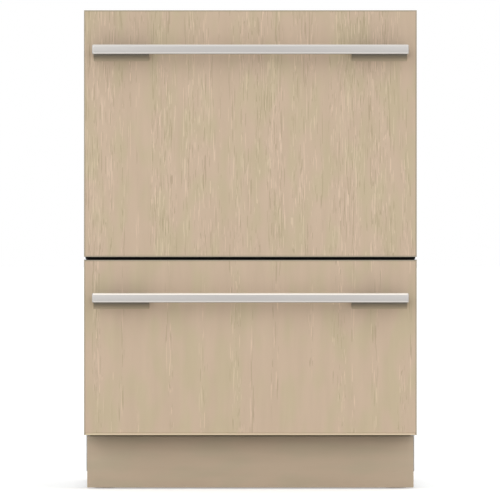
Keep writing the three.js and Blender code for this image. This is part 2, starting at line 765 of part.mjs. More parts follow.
function washPump(name) {
  const motor = rod([0, 0, -PUMP_HEIGHT], [0, 0, 0], PUMP_RADIUS, 28);
  const z = -PUMP_HEIGHT / 2;
  const outlet = rod([0, 0, z], [0, PUMP_RADIUS + PUMP_OUTLET_REACH, z], PUMP_OUTLET_RADIUS, 12);
  return piece(name, motor.add(outlet), darkPlastic);
}

// The round filter plate over the sump, with the turned cap of the drain filter on it.
function filterPlate(name) {
  const radius = SUMP_RADIUS - FILTER_PLATE_GAP;
  const plate = loft([roundRing(radius, -FILTER_PLATE_THICKNESS), roundRing(radius, 0)]);
  const capX = FILTER_CAP_OFFSET;
  const cap = rod([capX, 0, -OVERLAP], [capX, 0, FILTER_CAP_HEIGHT], FILTER_CAP_RADIUS, 16);
  const hole = rod(
    [0, 0, -FILTER_PLATE_THICKNESS - OVERLAP],
    [0, 0, OVERLAP],
    POST_RADIUS + FILTER_PLATE_GAP,
    16,
  );
  return piece(name, plate.add(cap).subtract(hole), greyPlastic);
}

// Half the S-shaped outline of the spray arm: a blade whose middle line curves as it reaches out.
function bladeEdge(side, turned) {
  const steps = 8;
  const points = [];
  for (let i = 0; i <= steps; i++) {
    const share = i / steps;
    const reach = share * ARM_LENGTH;
    const angle = ARM_SWEEP * share * share + turned;
    const width = ARM_ROOT_WIDTH + (ARM_TIP_WIDTH - ARM_ROOT_WIDTH) * share;
    const across = angle + Math.PI / 2;
    const x = reach * Math.cos(angle) + (side * width * Math.cos(across)) / 2;
    const y = reach * Math.sin(angle) + (side * width * Math.sin(across)) / 2;
    points.push(new THREE.Vector2(x, y));
  }
  return points;
}

function sprayArm(name) {
  const blade = (turned) => {
    const right = bladeEdge(-1, turned);
    const left = bladeEdge(1, turned).reverse();
    const body = new THREE.ExtrudeGeometry(new THREE.Shape([...right, ...left]), {
      depth: ARM_THICKNESS - 2 * ARM_BEVEL,
      bevelThickness: ARM_BEVEL,
      bevelSize: ARM_BEVEL,
      bevelOffset: -ARM_BEVEL,
      bevelSegments: 1,
    });
    return solid(body.translate(0, 0, ARM_BEVEL + (ARM_HUB_HEIGHT - ARM_THICKNESS) / 2));
  };
  const hub = rod([0, 0, 0], [0, 0, ARM_HUB_HEIGHT], ARM_HUB_RADIUS, 20);
  const socketTop = POST_RISE - ARM_ABOVE_FLOOR + SLIDE_GAP;
  const socket = rod([0, 0, -OVERLAP], [0, 0, socketTop], POST_RADIUS + SLIDE_GAP, 16);
  return piece(name, joined([hub, blade(0), blade(Math.PI)]).subtract(socket), greyPlastic);
}

// ---------------------------------------------------------------- drawer: racks
// From the crosswise wires up to the top rails, in whole millimetres.
const rackHeight = (tubDepth, drop) => Math.round(tubDepth - RACK_ABOVE_FLOOR - drop);

// Heights here are above the middle of the crosswise wires. The end walls' rails pass under the
// side walls' rails, as the crosswise wires pass under the lengthwise ones.
function rack(name, height, restHeight) {
  const shapes = [];
  const sides = [-1, 1];
  const wire = (from, to, radius = WIRE_RADIUS) => shapes.push(rod(from, to, radius));
  const upright = (x, y, from, to) => wire([x, y, from], [x, y, to], UPRIGHT_RADIUS);
  crosswiseY.forEach((y) => {
    wire([-rackHalfX, y, 0], [rackHalfX, y, 0]);
    sides.forEach((side) => upright(side * rackHalfX, y, 0, height));
  });
  lengthwiseX.forEach((x) => wire([x, -rackHalfY, wireStack], [x, rackHalfY, wireStack]));
  const endRail = height - wireStack;
  lengthwiseX.slice(1, -1).forEach((x) => {
    sides.forEach((side) => upright(x, side * rackHalfY, 0, endRail));
  });
  const railX = rackHalfX + WIRE_RADIUS;
  const railY = rackHalfY + WIRE_RADIUS;
  sides.forEach((side) => {
    wire([-railX, side * rackHalfY, endRail], [railX, side * rackHalfY, endRail]);
    wire([side * rackHalfX, -railY, height], [side * rackHalfX, railY, height]);
  });
  TINE_ROWS.fixed.forEach((index) => {
    const x = lengthwiseX[index];
    tineY.forEach((y) => wire([x, y, wireStack], [x, y, wireStack + TINE_HEIGHT], TINE_RADIUS));
  });
  const legBottom = SEAT_GAP + restHeight - RACK_ABOVE_FLOOR;
  legPlaces.forEach(([x, y]) => upright(x, y, legBottom, 0));
  return piece(name, joined(shapes), coatedWire);
}

// A row of plate tines on its own rod, which turns flat; the rod lies on the crosswise wires.
const foldRowZ = 2 * WIRE_RADIUS + SEAT_GAP;
function foldingTineRow(name) {
  const reach = rackHalfY - TINE_END_MARGIN / 2;
  const shapes = [rod([0, -reach, 0], [0, reach, 0], WIRE_RADIUS)];
  tineY.forEach((y) => shapes.push(rod([0, y, 0], [0, y, TINE_HEIGHT], TINE_RADIUS)));
  const mesh = piece(name, joined(shapes), coatedWire);
  const x = lengthwiseX[TINE_ROWS.folding] + 2 * WIRE_RADIUS + SLIDE_GAP;
  mesh.position.set(x, 0, foldRowZ);
  return mesh;
}

// A slatted shelf hinged along the rack's left top wire.
function cupShelf(name, rackHeight) {
  const half = CUP_SHELF_LENGTH / 2;
  const bar = CUP_SHELF_BAR;
  const slatHalf = bar / 2 - CUP_SHELF_SLAT_STEP;
  const shapes = [
    rod([0, -half, 0], [0, half, 0], bar / 2, 8),
    block(CUP_SHELF_WIDTH - bar, CUP_SHELF_WIDTH, -half, half, -bar / 2, bar / 2 + bar),
  ];
  for (let i = 0; i < CUP_SHELF_SLATS; i++) {
    const y = -half + bar + ((2 * half - 2 * bar) * i) / (CUP_SHELF_SLATS - 1);
    shapes.push(
      block(0, CUP_SHELF_WIDTH - OVERLAP, y - bar / 2, y + bar / 2, -slatHalf, slatHalf),
    );
  }
  const mesh = piece(name, joined(shapes), palePlastic);
  mesh.position.set(-rackHalfX, 0, rackHeight + WIRE_RADIUS + SEAT_GAP + bar / 2);
  return mesh;
}

function cutleryBasket(name) {
  const halfX = CUTLERY_WIDTH / 2;
  const halfY = CUTLERY_LENGTH / 2;
  const wall = CUTLERY_WALL;
  const cell = (CUTLERY_LENGTH - wall * (CUTLERY_CELLS + 1)) / CUTLERY_CELLS;
  const cellStart = (i) => -halfY + wall + i * (cell + wall);
  let shape = block(-halfX, halfX, -halfY, halfY, 0, CUTLERY_HEIGHT);
  for (let i = 0; i < CUTLERY_CELLS; i++) {
    const y = cellStart(i);
    shape = shape.subtract(
      block(wall - halfX, halfX - wall, y, y + cell, wall, CUTLERY_HEIGHT + OVERLAP),
    );
    [-1, 1].forEach((side) => {
      const middle = y + cell / 2 + (side * cell) / 4;
      const low = (CUTLERY_HEIGHT - CUTLERY_WINDOW_HEIGHT) / 2;
      shape = shape.subtract(
        block(
          -halfX - OVERLAP,
          halfX + OVERLAP,
          middle - CUTLERY_WINDOW_WIDTH / 2,
          middle + CUTLERY_WINDOW_WIDTH / 2,
          low,
          low + CUTLERY_WINDOW_HEIGHT,
        ),
      );
    });
  }
  const gripStart = cellStart(1) - wall;
  const grip = block(
    -CUTLERY_GRIP_LENGTH / 2,
    CUTLERY_GRIP_LENGTH / 2,
    gripStart,
    gripStart + wall,
    CUTLERY_HEIGHT - OVERLAP,
    CUTLERY_HEIGHT + CUTLERY_GRIP_RISE,
  );
  const mesh = piece(name, shape.add(grip), greyPlastic);
  const x = rackHalfX - WIRE_RADIUS - CUTLERY_SIDE_GAP - halfX;
  mesh.position.set(x, 0, wireStack + WIRE_RADIUS + SEAT_GAP);
  return mesh;
}

// ---------------------------------------------------------------- drawer: dispenser
// Heights are above the dispenser's bottom edge, and Y starts at the tub's front wall.
const flapHalf = FLAP_WIDTH / 2;
const flapX = -DISPENSER_WIDTH / 2 + FLAP_SIDE_MARGIN + flapHalf;
const flapHingeZ = FLAP_BOTTOM_MARGIN + FLAP_THICKNESS / 2;
const flapHingeY = DISPENSER_DEPTH - FLAP_THICKNESS / 2;

function dispenser(name) {
  const half = DISPENSER_WIDTH / 2;
  const body = block(-half, half, 0, DISPENSER_DEPTH, 0, DISPENSER_HEIGHT);
  const recessBack = DISPENSER_DEPTH - FLAP_THICKNESS - PIVOT_GAP;
  const recess = block(
    flapX - flapHalf - PIVOT_GAP,
    flapX + flapHalf + PIVOT_GAP,
    recessBack,
    DISPENSER_DEPTH + OVERLAP,
    FLAP_BOTTOM_MARGIN - PIVOT_GAP,
    FLAP_BOTTOM_MARGIN + FLAP_HEIGHT + PIVOT_GAP,
  );
  const cup = block(
    flapX - flapHalf + CUP_MARGIN,
    flapX + flapHalf - CUP_MARGIN,
    recessBack - CUP_DEPTH,
    recessBack + OVERLAP,
    FLAP_BOTTOM_MARGIN + CUP_MARGIN,
    FLAP_BOTTOM_MARGIN + FLAP_HEIGHT - CUP_MARGIN,
  );
  const capX = (flapX + flapHalf + half) / 2;
  const capZ = DISPENSER_HEIGHT / 2;
  const capRear = DISPENSER_DEPTH + RINSE_CAP_RISE;
  const capFront = DISPENSER_DEPTH - OVERLAP;
  const cap = rod([capX, capFront, capZ], [capX, capRear, capZ], RINSE_CAP_RADIUS, 20);
  const mesh = piece(name, body.add(cap).subtract(recess).subtract(cup), palePlastic);
  return mesh;
}

function dispenserFlap(name) {
  const t = FLAP_THICKNESS / 2;
  const flap = block(-flapHalf, flapHalf, -t, t, -t, FLAP_HEIGHT - t);
  const mesh = piece(name, flap, greyPlastic);
  mesh.position.set(flapX, flapHingeY, flapHingeZ);
  return mesh;
}

// ---------------------------------------------------------------- drawer: front
function frontPanel(name, bottom, top) {
  const shape = chamferedBlock(PANEL_WIDTH, PANEL_THICKNESS, top - bottom, PANEL_CHAMFER);
  const mesh = piece(name, shape, oak);
  mesh.position.set(0, -PANEL_THICKNESS / 2, (top + bottom) / 2);
  return mesh;
}

const buttonY = (SEAT_GAP + frameBack) / 2;

function frontFrame(name, bottom, top) {
  let shape = block(-chassisHalf, chassisHalf, SEAT_GAP, frameBack, bottom, top);
  [POWER_BUTTON_X, START_BUTTON_X].forEach((x) => {
    const halfX = BUTTON_LENGTH / 2 + BUTTON_GAP;
    const halfY = BUTTON_DEPTH / 2 + BUTTON_GAP;
    shape = shape.subtract(
      block(
        x - halfX,
        x + halfX,
        buttonY - halfY,
        buttonY + halfY,
        top - POCKET_DEPTH,
        top + OVERLAP,
      ),
    );
  });
  return piece(name, shape, blackPlastic);
}

function button(name, x, frameTop) {
  const shape = block(
    -BUTTON_LENGTH / 2,
    BUTTON_LENGTH / 2,
    -BUTTON_DEPTH / 2,
    BUTTON_DEPTH / 2,
    BUTTON_PROUD - BUTTON_HEIGHT,
    BUTTON_PROUD,
  );
  const mesh = piece(name, shape, buttonPlastic);
  mesh.position.set(x, buttonY, frameTop);
  return mesh;
}

function handle(prefix, barTop) {
  const group = new THREE.Group();
  group.position.z = barTop - HANDLE_HEIGHT / 2;
  const bar = piece(
    prefix + "_handle_bar",
    chamferedBlock(handleLength, HANDLE_BAR_DEPTH, HANDLE_HEIGHT, HANDLE_CHAMFER),
    aluminium,
  );
  bar.position.y = (handleFront + handleBack) / 2;
  group.add(bar);
  [-1, 1].forEach((side) => {
    const far = side * (handleLength / 2 - BRACKET_END_INSET);
    const near = far - side * BRACKET_WIDTH;
    const bottom = -HANDLE_HEIGHT / 2 - BRACKET_DROP;
    const shape = block(
      Math.min(near, far),
      Math.max(near, far),
      handleBack + SEAT_GAP,
      panelFront - SEAT_GAP,
      bottom,
      bottom + BRACKET_HEIGHT,
    );
    const name = prefix + "_handle_bracket_" + (side < 0 ? "left" : "right");
    group.add(piece(name, shape, bracketPaint));
  });
  return group;
}

// ---------------------------------------------------------------- one drawer
function drawer(spec) {
  const { prefix, panelTop, panelBottom, frameTop, frameBottom, rim, depth } = spec;
  const group = new THREE.Group();
  group.add(frontPanel(prefix + "_front_panel", panelBottom, panelTop));
  group.add(frontFrame(prefix + "_inner_door", frameBottom, frameTop));
  group.add(button(prefix + "_power_button", POWER_BUTTON_X, frameTop));
  group.add(button(prefix + "_start_button", START_BUTTON_X, frameTop));
  group.add(handle(prefix, panelTop - spec.handleDrop));

  const well = new THREE.Group(); // at the tub's middle, at rim height
  well.position.set(0, tubCentreY, rim);
  group.add(well);
  well.add(tub(prefix + "_tub", depth, spec.restHeight));
  const pump = washPump(prefix + "_wash_pump");
  pump.position.z = -depth - SUMP_DEPTH - TUB_WALL - SEAT_GAP;
  const plate = filterPlate(prefix + "_filter_plate");
  plate.position.z = -depth - FLOOR_FALL;
  const arm = sprayArm(prefix + "_spray_arm");
  arm.position.z = -depth + ARM_ABOVE_FLOOR;
  well.add(pump, plate, arm);

  const slide = carriage(prefix + "_runner_carriage");
  slide.position.z = rim - depth + RUNNER_ABOVE_FLOOR;
  group.add(slide);

  const rackGroup = new THREE.Group(); // at the crosswise wires
  rackGroup.position.z = -depth + RACK_ABOVE_FLOOR;
  well.add(rackGroup);
  rackGroup.add(rack(prefix + "_rack", spec.rackHeight, spec.restHeight));
  rackGroup.add(foldingTineRow(prefix + "_folding_tines"));
  if (spec.fullyFitted) {
    rackGroup.add(cupShelf(prefix + "_cup_shelf", spec.rackHeight));
    rackGroup.add(cutleryBasket(prefix + "_cutlery_basket"));
  }

  const soap = new THREE.Group();
  soap.position.set(
    DISPENSER_X,
    SEAT_GAP - tubInnerHalfY,
    -DISPENSER_RIM_DROP - DISPENSER_HEIGHT,
  );
  well.add(soap);
  soap.add(dispenser(prefix + "_dispenser"));
  soap.add(dispenserFlap(prefix + "_dispenser_flap"));
  return group;
}

// What stays in the chassis beside and above one drawer.
function berth(prefix, rim, depth, lidBottom) {
  const group = new THREE.Group();
  const runners = new THREE.Group();
  runners.position.z = rim - depth + RUNNER_ABOVE_FLOOR;
  [
    ["left", -1],
    ["right", 1],
  ].forEach(([word, side]) => {
    runners.add(runnerMember(prefix + "_outer_runner_" + word, side, 0, galvanised));
    runners.add(runnerMember(prefix + "_middle_runner_" + word, side, 1, runnerSteel));
  });
  const cover = new THREE.Group();
  cover.position.z = lidBottom;
  cover.add(lid(prefix + "_lid"), lidSeal(prefix + "_lid_seal"), lidActuator(prefix + "_lid_actuator"));
  group.add(runners, cover);
  return group;
}

// ---------------------------------------------------------------- the whole appliance
const appliance = new THREE.Group();
appliance.add(sideSheet(-1), sideSheet(1), rearSheet(), topSheet(), centreShelf(), basePlate());
appliance.add(kickboard(), waterInletValve());
footPlaces.forEach((place) => appliance.add(foot(place)));

appliance.add(berth("top", topRim, topTubDepth, topLidBottom));
appliance.add(berth("bottom", bottomRim, bottomTubDepth, bottomLidBottom));

appliance.add(
  drawer({
    prefix: "top",
    panelTop: HEIGHT,
    panelBottom: topPanelBottom,
    frameTop: HEIGHT - FRAME_TOP_DROP,
    frameBottom: bottomPanelTop + FRAME_PASS_GAP,
    rim: topRim,
    depth: topTubDepth,
    handleDrop: TOP_HANDLE_DROP,
    rackHeight: rackHeight(topTubDepth, TOP_RACK_DROP),
    restHeight: REST_HEIGHT,
    fullyFitted: true,
  }),
);
appliance.add(
  drawer({
    prefix: "bottom",
    panelTop: bottomPanelTop,
    panelBottom: bottomPanelBottom,
    frameTop: bottomPanelTop - FRAME_LOW_TOP_DROP,
    frameBottom: bottomPanelBottom + FRAME_LOW_BOTTOM_RISE,
    rim: bottomRim,
    depth: bottomTubDepth,
    handleDrop: BOTTOM_HANDLE_DROP,
    rackHeight: rackHeight(bottomTubDepth, BOTTOM_RACK_DROP),
    restHeight: 0,
    fullyFitted: false,
  }),
);

appliance.position.y = -(handleFront + chassisRear) / 2;
export default appliance;
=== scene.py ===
"""A built-in double dishwasher drawer: two drawers with light oak fronts and straight square bar
handles, over a recessed kickboard, in a galvanised chassis with racks, spray arms, lids, runners
and water connections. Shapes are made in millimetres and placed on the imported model.
"""

import math

import bmesh
import bpy
from mathutils import Matrix, Vector


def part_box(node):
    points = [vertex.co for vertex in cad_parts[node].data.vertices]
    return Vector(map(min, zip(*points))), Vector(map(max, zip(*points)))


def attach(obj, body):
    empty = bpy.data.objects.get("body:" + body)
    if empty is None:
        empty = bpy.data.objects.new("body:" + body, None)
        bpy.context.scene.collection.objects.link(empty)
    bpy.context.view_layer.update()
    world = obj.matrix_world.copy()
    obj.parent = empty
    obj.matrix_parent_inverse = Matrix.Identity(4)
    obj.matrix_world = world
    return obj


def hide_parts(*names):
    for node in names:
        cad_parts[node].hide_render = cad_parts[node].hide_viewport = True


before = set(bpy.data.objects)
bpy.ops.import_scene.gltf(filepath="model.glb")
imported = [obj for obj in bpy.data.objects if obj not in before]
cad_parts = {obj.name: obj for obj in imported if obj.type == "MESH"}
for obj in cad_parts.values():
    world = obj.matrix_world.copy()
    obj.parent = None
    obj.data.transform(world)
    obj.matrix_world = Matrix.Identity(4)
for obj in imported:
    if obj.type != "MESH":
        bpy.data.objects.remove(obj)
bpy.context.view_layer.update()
scene = bpy.context.scene

MM = 0.001
DRAWERS = ("top", "bottom")
SIDES = (("left", -1), ("right", 1))
X, Y, Z = Vector((1, 0, 0)), Vector((0, 1, 0)), Vector((0, 0, 1))
CREASE = math.radians(32)  # faces that meet at a flatter angle are shaded as one


# ---------------------------------------------------------------- measures
def span(node):
    """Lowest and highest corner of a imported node, in millimetres."""
    low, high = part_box(node)
    return low / MM, high / MM


def middle(node):
    """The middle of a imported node's box, in millimetres."""
    low, high = span(node)
    return (low + high) / 2


def spaced(low, high, count):
    """So many evenly spaced numbers, both ends among them."""
    return [low + (high - low) * i / (count - 1) for i in range(count)]


# ---------------------------------------------------------------- shapes
def flat_box(low, high):
    """A block with sharp edges between two corners."""
    shape = bmesh.new()
    low, high = Vector(low), Vector(high)
    bmesh.ops.create_cube(shape, size=1)
    bmesh.ops.scale(shape, vec=high - low, verts=shape.verts)
    bmesh.ops.translate(shape, vec=(low + high) / 2, verts=shape.verts)
    return shape


def soften(shape, width, segments=2, picked=None):
    """Rounds the sharp edges, or only those that picked() is true for."""
    sharp = [
        edge
        for edge in shape.edges
        if len(edge.link_faces) == 2
        and edge.calc_face_angle(0) > CREASE
        and (picked is None or picked(edge))
    ]
    bmesh.ops.bevel(
        shape,
        geom=sharp,
        offset=width,
        offset_type="OFFSET",
        segments=segments,
        profile=0.5,
        affect="EDGES",
        material=-1,
        clamp_overlap=True,
    )
    return shape


def running(axis):
    """Picks the edges that run along an axis."""
    return lambda edge: abs((edge.verts[0].co - edge.verts[1].co).normalized().dot(axis)) > 0.99


upright = running(Z)


def block(low, high, edge, segments=2):
    """A block with its edges rounded."""
    return soften(flat_box(low, high), edge, segments)


def rod(start, end, radius, sides=24, edge=0.0, far_radius=None):
    """A round bar between two points, tapered if a far radius is given."""
    start, end = Vector(start), Vector(end)
    along = end - start
    turn = Z.rotation_difference(along).to_matrix().to_4x4()
    shape = bmesh.new()
    bmesh.ops.create_cone(
        shape,
        cap_ends=True,
        segments=sides,
        radius1=radius,
        radius2=radius if far_radius is None else far_radius,
        depth=along.length,
        matrix=Matrix.Translation((start + end) / 2) @ turn,
    )
    return soften(shape, edge) if edge else shape


def turned(profile, centre, axis=Z, steps=48):
    """A profile of (radius, height) points turned all the way round."""
    shape = bmesh.new()
    corners = [shape.verts.new((radius, 0, height)) for radius, height in profile]
    for low, high in zip(corners, corners[1:]):
        shape.edges.new((low, high))
    bmesh.ops.spin(
        shape,
        geom=shape.verts[:] + shape.edges[:],
        cent=(0, 0, 0),
        axis=Z,
        angle=math.tau,
        steps=steps,
        use_merge=True,
    )
    bmesh.ops.remove_doubles(shape, verts=shape.verts, dist=0.001)
    turn = Z.rotation_difference(axis).to_matrix().to_4x4()
    bmesh.ops.transform(shape, matrix=Matrix.Translation(centre) @ turn, verts=shape.verts)
    bmesh.ops.recalc_face_normals(shape, faces=shape.faces)
    return shape


def plate(outline, depth):
    """A flat outline pushed along the vector depth."""
    shape = bmesh.new()
    face = shape.faces.new([shape.verts.new(point) for point in outline])
    copy = bmesh.ops.extrude_face_region(shape, geom=[face], use_keep_orig=True)
    far_side = [part for part in copy["geom"] if isinstance(part, bmesh.types.BMVert)]
    bmesh.ops.translate(shape, vec=depth, verts=far_side)
    bmesh.ops.recalc_face_normals(shape, faces=shape.faces)
    return shape


def joined(shapes):
    """The shapes as one, each of them used up."""
    whole = bmesh.new()
    for shape in shapes:
        part = bpy.data.meshes.new("part")
        shape.to_mesh(part)
        shape.free()
        whole.from_mesh(part)
        bpy.data.meshes.remove(part)
    return whole


def moved(shape, offset=(0, 0, 0), angle=0.0, axis="Z", about=(0, 0, 0)):
    """The shape turned about a point and then shifted."""
    place = Matrix.Translation(about)
    turn = place @ Matrix.Rotation(angle, 4, axis) @ place.inverted()
    bmesh.ops.transform(shape, matrix=Matrix.Translation(offset) @ turn, verts=shape.verts)
    return shape


def held(shape):
    """A scratch object that holds a shape while a modifier works on it."""
    mesh = bpy.data.meshes.new("held")
    shape.to_mesh(mesh)
    shape.free()
    holder = bpy.data.objects.new("held", mesh)
    scene.collection.objects.link(holder)
    return holder


def carved(shape, tools):
    """The shape with the tools' volumes taken out of it."""
    body, cutter = held(shape), held(joined(tools))
    cut = body.modifiers.new("carve", "BOOLEAN")
    cut.operation, cut.solver, cut.object = "DIFFERENCE", "EXACT", cutter
    bpy.context.view_layer.update()
    depsgraph = bpy.context.evaluated_depsgraph_get()
    mesh = bpy.data.meshes.new_from_object(body.evaluated_get(depsgraph))
    result = bmesh.new()
    result.from_mesh(mesh)
    for scratch in (body.data, cutter.data, mesh):
        bpy.data.meshes.remove(scratch)
    bmesh.ops.dissolve_limit(result, angle_limit=0.01, verts=result.verts, edges=result.edges)
    return result


def bent(corners, radius, steps=4):
    """A path with its inner corners rounded."""
    points = [Vector(point) for point in corners]
    path = [points[0]]
    for before, corner, after in zip(points, points[1:], points[2:]):
        back, on = before - corner, after - corner
        reach = min(radius, back.length / 2, on.length / 2)
        start = corner + back.normalized() * reach
        end = corner + on.normalized() * reach
        for i in range(steps + 1):
            t = i / steps
            path.append(start * (1 - t) ** 2 + corner * 2 * t * (1 - t) + end * t**2)
    return [*path, points[-1]]


def rounded_loop(half_x, half_y, radius, centre, steps=6):
    """A closed rectangle with round corners, flat in Z."""
    path = []
    for quarter, (side_x, side_y) in enumerate(((1, 1), (-1, 1), (-1, -1), (1, -1))):
        for i in range(steps + 1):
            angle = math.pi / 2 * (quarter + i / steps)
            x = side_x * (half_x - radius) + radius * math.cos(angle)
            y = side_y * (half_y - radius) + radius * math.sin(angle)
            path.append(Vector(centre) + Vector((x, y, 0)))
    return path


def wires(paths, radius, closed=False, fineness=3):
    """Round wires or beads along paths, as one shape."""
    curve = bpy.data.curves.new("wires", "CURVE")
    curve.dimensions = "3D"
    curve.bevel_depth = radius
    curve.bevel_resolution = fineness
    curve.use_fill_caps = True
    for path in paths:
        spline = curve.splines.new("POLY")
        spline.points.add(len(path) - 1)
        for point, place in zip(spline.points, path):
            point.co = (*place, 1)
        spline.use_cyclic_u = closed
    holder = bpy.data.objects.new("wires", curve)
    scene.collection.objects.link(holder)
    bpy.context.view_layer.update()
    depsgraph = bpy.context.evaluated_depsgraph_get()
    mesh = bpy.data.meshes.new_from_object(holder.evaluated_get(depsgraph))
    shape = bmesh.new()
    shape.from_mesh(mesh)
    bmesh.ops.remove_doubles(shape, verts=shape.verts, dist=0.001)
    bpy.data.curves.remove(curve)
    bpy.data.meshes.remove(mesh)
    return shape


def rolled(section, start, end, thickness):
    """A sheet bent to a section in X and Z and pushed from start to end along Y."""
    shape = bmesh.new()
    corners = [shape.verts.new((x, start, z)) for x, z in section]
    edges = [shape.edges.new(pair) for pair in zip(corners, corners[1:])]
    pushed = bmesh.ops.extrude_edge_only(shape, edges=edges)
    moving = [part for part in pushed["geom"] if isinstance(part, bmesh.types.BMVert)]
    bmesh.ops.translate(shape, vec=(0, end - start, 0), verts=moving)
    bmesh.ops.solidify(shape, geom=shape.faces[:], thickness=thickness)
    bmesh.ops.recalc_face_normals(shape, faces=shape.faces)
    return shape


def rounded_block(low, high, corner, edge=0.0, steps=6, axis=Z):
    """A block whose corners are rounded along one axis, and its other edges softened."""
    shape = soften(flat_box(low, high), corner, steps, running(axis))
    return soften(shape, edge) if edge else shape


def side_block(side, near, far, low_yz, high_yz, edge):
    """A block between two distances from the middle, on the side -1 or 1."""
    x0, x1 = sorted((side * near, side * far))
    return block((x0, *low_yz), (x1, *high_yz), edge)


def block_ring(low, high, edge, count, about, axis="Z", start=0.0):
    """The same small block at so many places round an axis."""
    turns = (math.tau * (i + start) / count for i in range(count))
    return [moved(block(low, high, edge), angle=turn, axis=axis, about=about) for turn in turns]


SLOT_REACH, SLOT_HALF, SLOT_FLOOR = 0.62, 0.13, 0.45  # as shares of the head


def screw(place, axis, radius=3.8, rise=1.3):
    """A round screw head with a cross slot."""
    place, axis = Vector(place), Vector(axis)
    head = turned(
        [(0, rise), (radius * 0.5, rise), (radius * 0.9, rise * 0.6), (radius, 0), (0, 0)],
        (0, 0, 0),
        steps=20,
    )
    reach, half = radius * SLOT_REACH, radius * SLOT_HALF
    for x, y in ((reach, half), (half, reach)):
        head = carved(head, [flat_box((-x, -y, rise * SLOT_FLOOR), (x, y, rise + 1))])
    turn = Z.rotation_difference(axis).to_matrix().to_4x4()
    bmesh.ops.transform(head, matrix=Matrix.Translation(place) @ turn, verts=head.verts)
    return head


def copies(shape, places):
    """The shape repeated at each place, the original taken away."""
    spread = [moved(shape.copy(), place) for place in places]
    shape.free()
    return joined(spread)


def piece(name, shapes, finish, body, nodes=()):
    """One finished piece that rides on a body and stands for the nodes it is given."""
    whole = joined(shapes)
    bmesh.ops.recalc_face_normals(whole, faces=whole.faces)
    bmesh.ops.scale(whole, vec=(MM, MM, MM), verts=whole.verts)
    mesh = bpy.data.meshes.new(name)
    whole.to_mesh(mesh)
    whole.free()
    mesh.shade_smooth()
    mesh.set_sharp_from_angle(angle=CREASE)
    mesh.materials.append(finish.material)
    made = bpy.data.objects.new(name, mesh)
    scene.collection.objects.link(made)
    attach(made, body)
    if nodes:
        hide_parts(*nodes)
    return made


# ---------------------------------------------------------------- finishes
def tone(red, green, blue):
    """A colour as seen, 0 to 255 each, as the shader's linear colour."""
    linear = [
        c / 12.92 if c <= 0.04045 else ((c + 0.055) / 1.055) ** 2.4
        for c in (red / 255, green / 255, blue / 255)
    ]
    return (*linear, 1.0)


class Value:
    """A number that changes over a surface; sums on it add the nodes that work them out."""

    def __init__(self, finish, socket):
        self.finish, self.socket = finish, socket

    def _sum(self, operation, first, second):
        return self.finish.node(
            "ShaderNodeMath", {"operation": operation}, {0: first, 1: second}
        )

    def __add__(self, other):
        return self._sum("ADD", self, other)

    def __sub__(self, other):
        return self._sum("SUBTRACT", self, other)

    def __mul__(self, other):
        return self._sum("MULTIPLY", self, other)

    def __rsub__(self, other):
        return self._sum("SUBTRACT", other, self)

    __radd__ = __add__
    __rmul__ = __mul__

    def rise(self, start, end):
        """0 up to start and 1 from end on, with a smooth step between."""
        return self.finish.node(
            "ShaderNodeMapRange",
            {"interpolation_type": "SMOOTHSTEP"},
            {0: self, 1: start, 2: end},
        )


class Finish:
    """One procedural surface: node() adds any node, and put() feeds the surface shader."""

    def __init__(self, name, roughness=0.5, metallic=0.0, specular=0.5):
        self.material = bpy.data.materials.new(name)
        self.material.use_nodes = True
        self.tree = self.material.node_tree
        self.surface = self.tree.nodes["Principled BSDF"]
        self.put("Roughness", roughness)
        self.put("Metallic", metallic)
        self.put("Specular IOR Level", specular)
        self.place = self.node("ShaderNodeTexCoord", out="Object")

    def feed(self, socket, value):
        if isinstance(value, Value):
            self.tree.links.new(value.socket, socket)
        else:
            socket.default_value = value

    def put(self, name, value):
        self.feed(self.surface.inputs[name], value)

    def node(self, kind, settings=None, sockets=None, out=0):
        made = self.tree.nodes.new(kind)
        for key, setting in (settings or {}).items():
            setattr(made, key, setting)
        for key, value in (sockets or {}).items():
            self.feed(made.inputs[key], value)
        return Value(self, made.outputs[out])

    def blend(self, share, first, second):
        """From one colour to another."""
        return self.node(
            "ShaderNodeMix", {"data_type": "RGBA"}, {0: share, 6: first, 7: second}, 2
        )

    def stretched(self, scale, shift):
        return self.node(
            "ShaderNodeMapping",
            sockets={"Vector": self.place, "Scale": scale, "Location": shift},
        )

    def noise(self, scale, detail=2.0, rough=0.5, shift=(0, 0, 0)):
        """Soft noise; scale is in waves per metre along each axis."""
        return self.node(
            "ShaderNodeTexNoise",
            sockets={
                "Vector": self.stretched(scale, shift),
                "Scale": 1.0,
                "Detail": detail,
                "Roughness": rough,
            },
        )

    def bump(self, height, depth, strength=0.5):
        """Raises the surface by depth metres where height is 1."""
        sockets = {"Height": height, "Distance": depth, "Strength": strength}
        self.put("Normal", self.node("ShaderNodeBump", sockets=sockets))


UPRIGHT_GRAIN, LEVEL_GRAIN = (1, 1, 0), (0, 1, 1)  # 1 across the grain, and 0 along it
FLECKS_ACROSS = 600  # waves per metre
FLECK_EDGE = (0.695, 0.715)  # of the noise: a fleck starts and is full
FLECK_SHADOW = 0.95  # how far beside a light fleck its dark one lies, in waves
COLUMNS_ACROSS, COLUMNS_ALONG = 46, 1.4


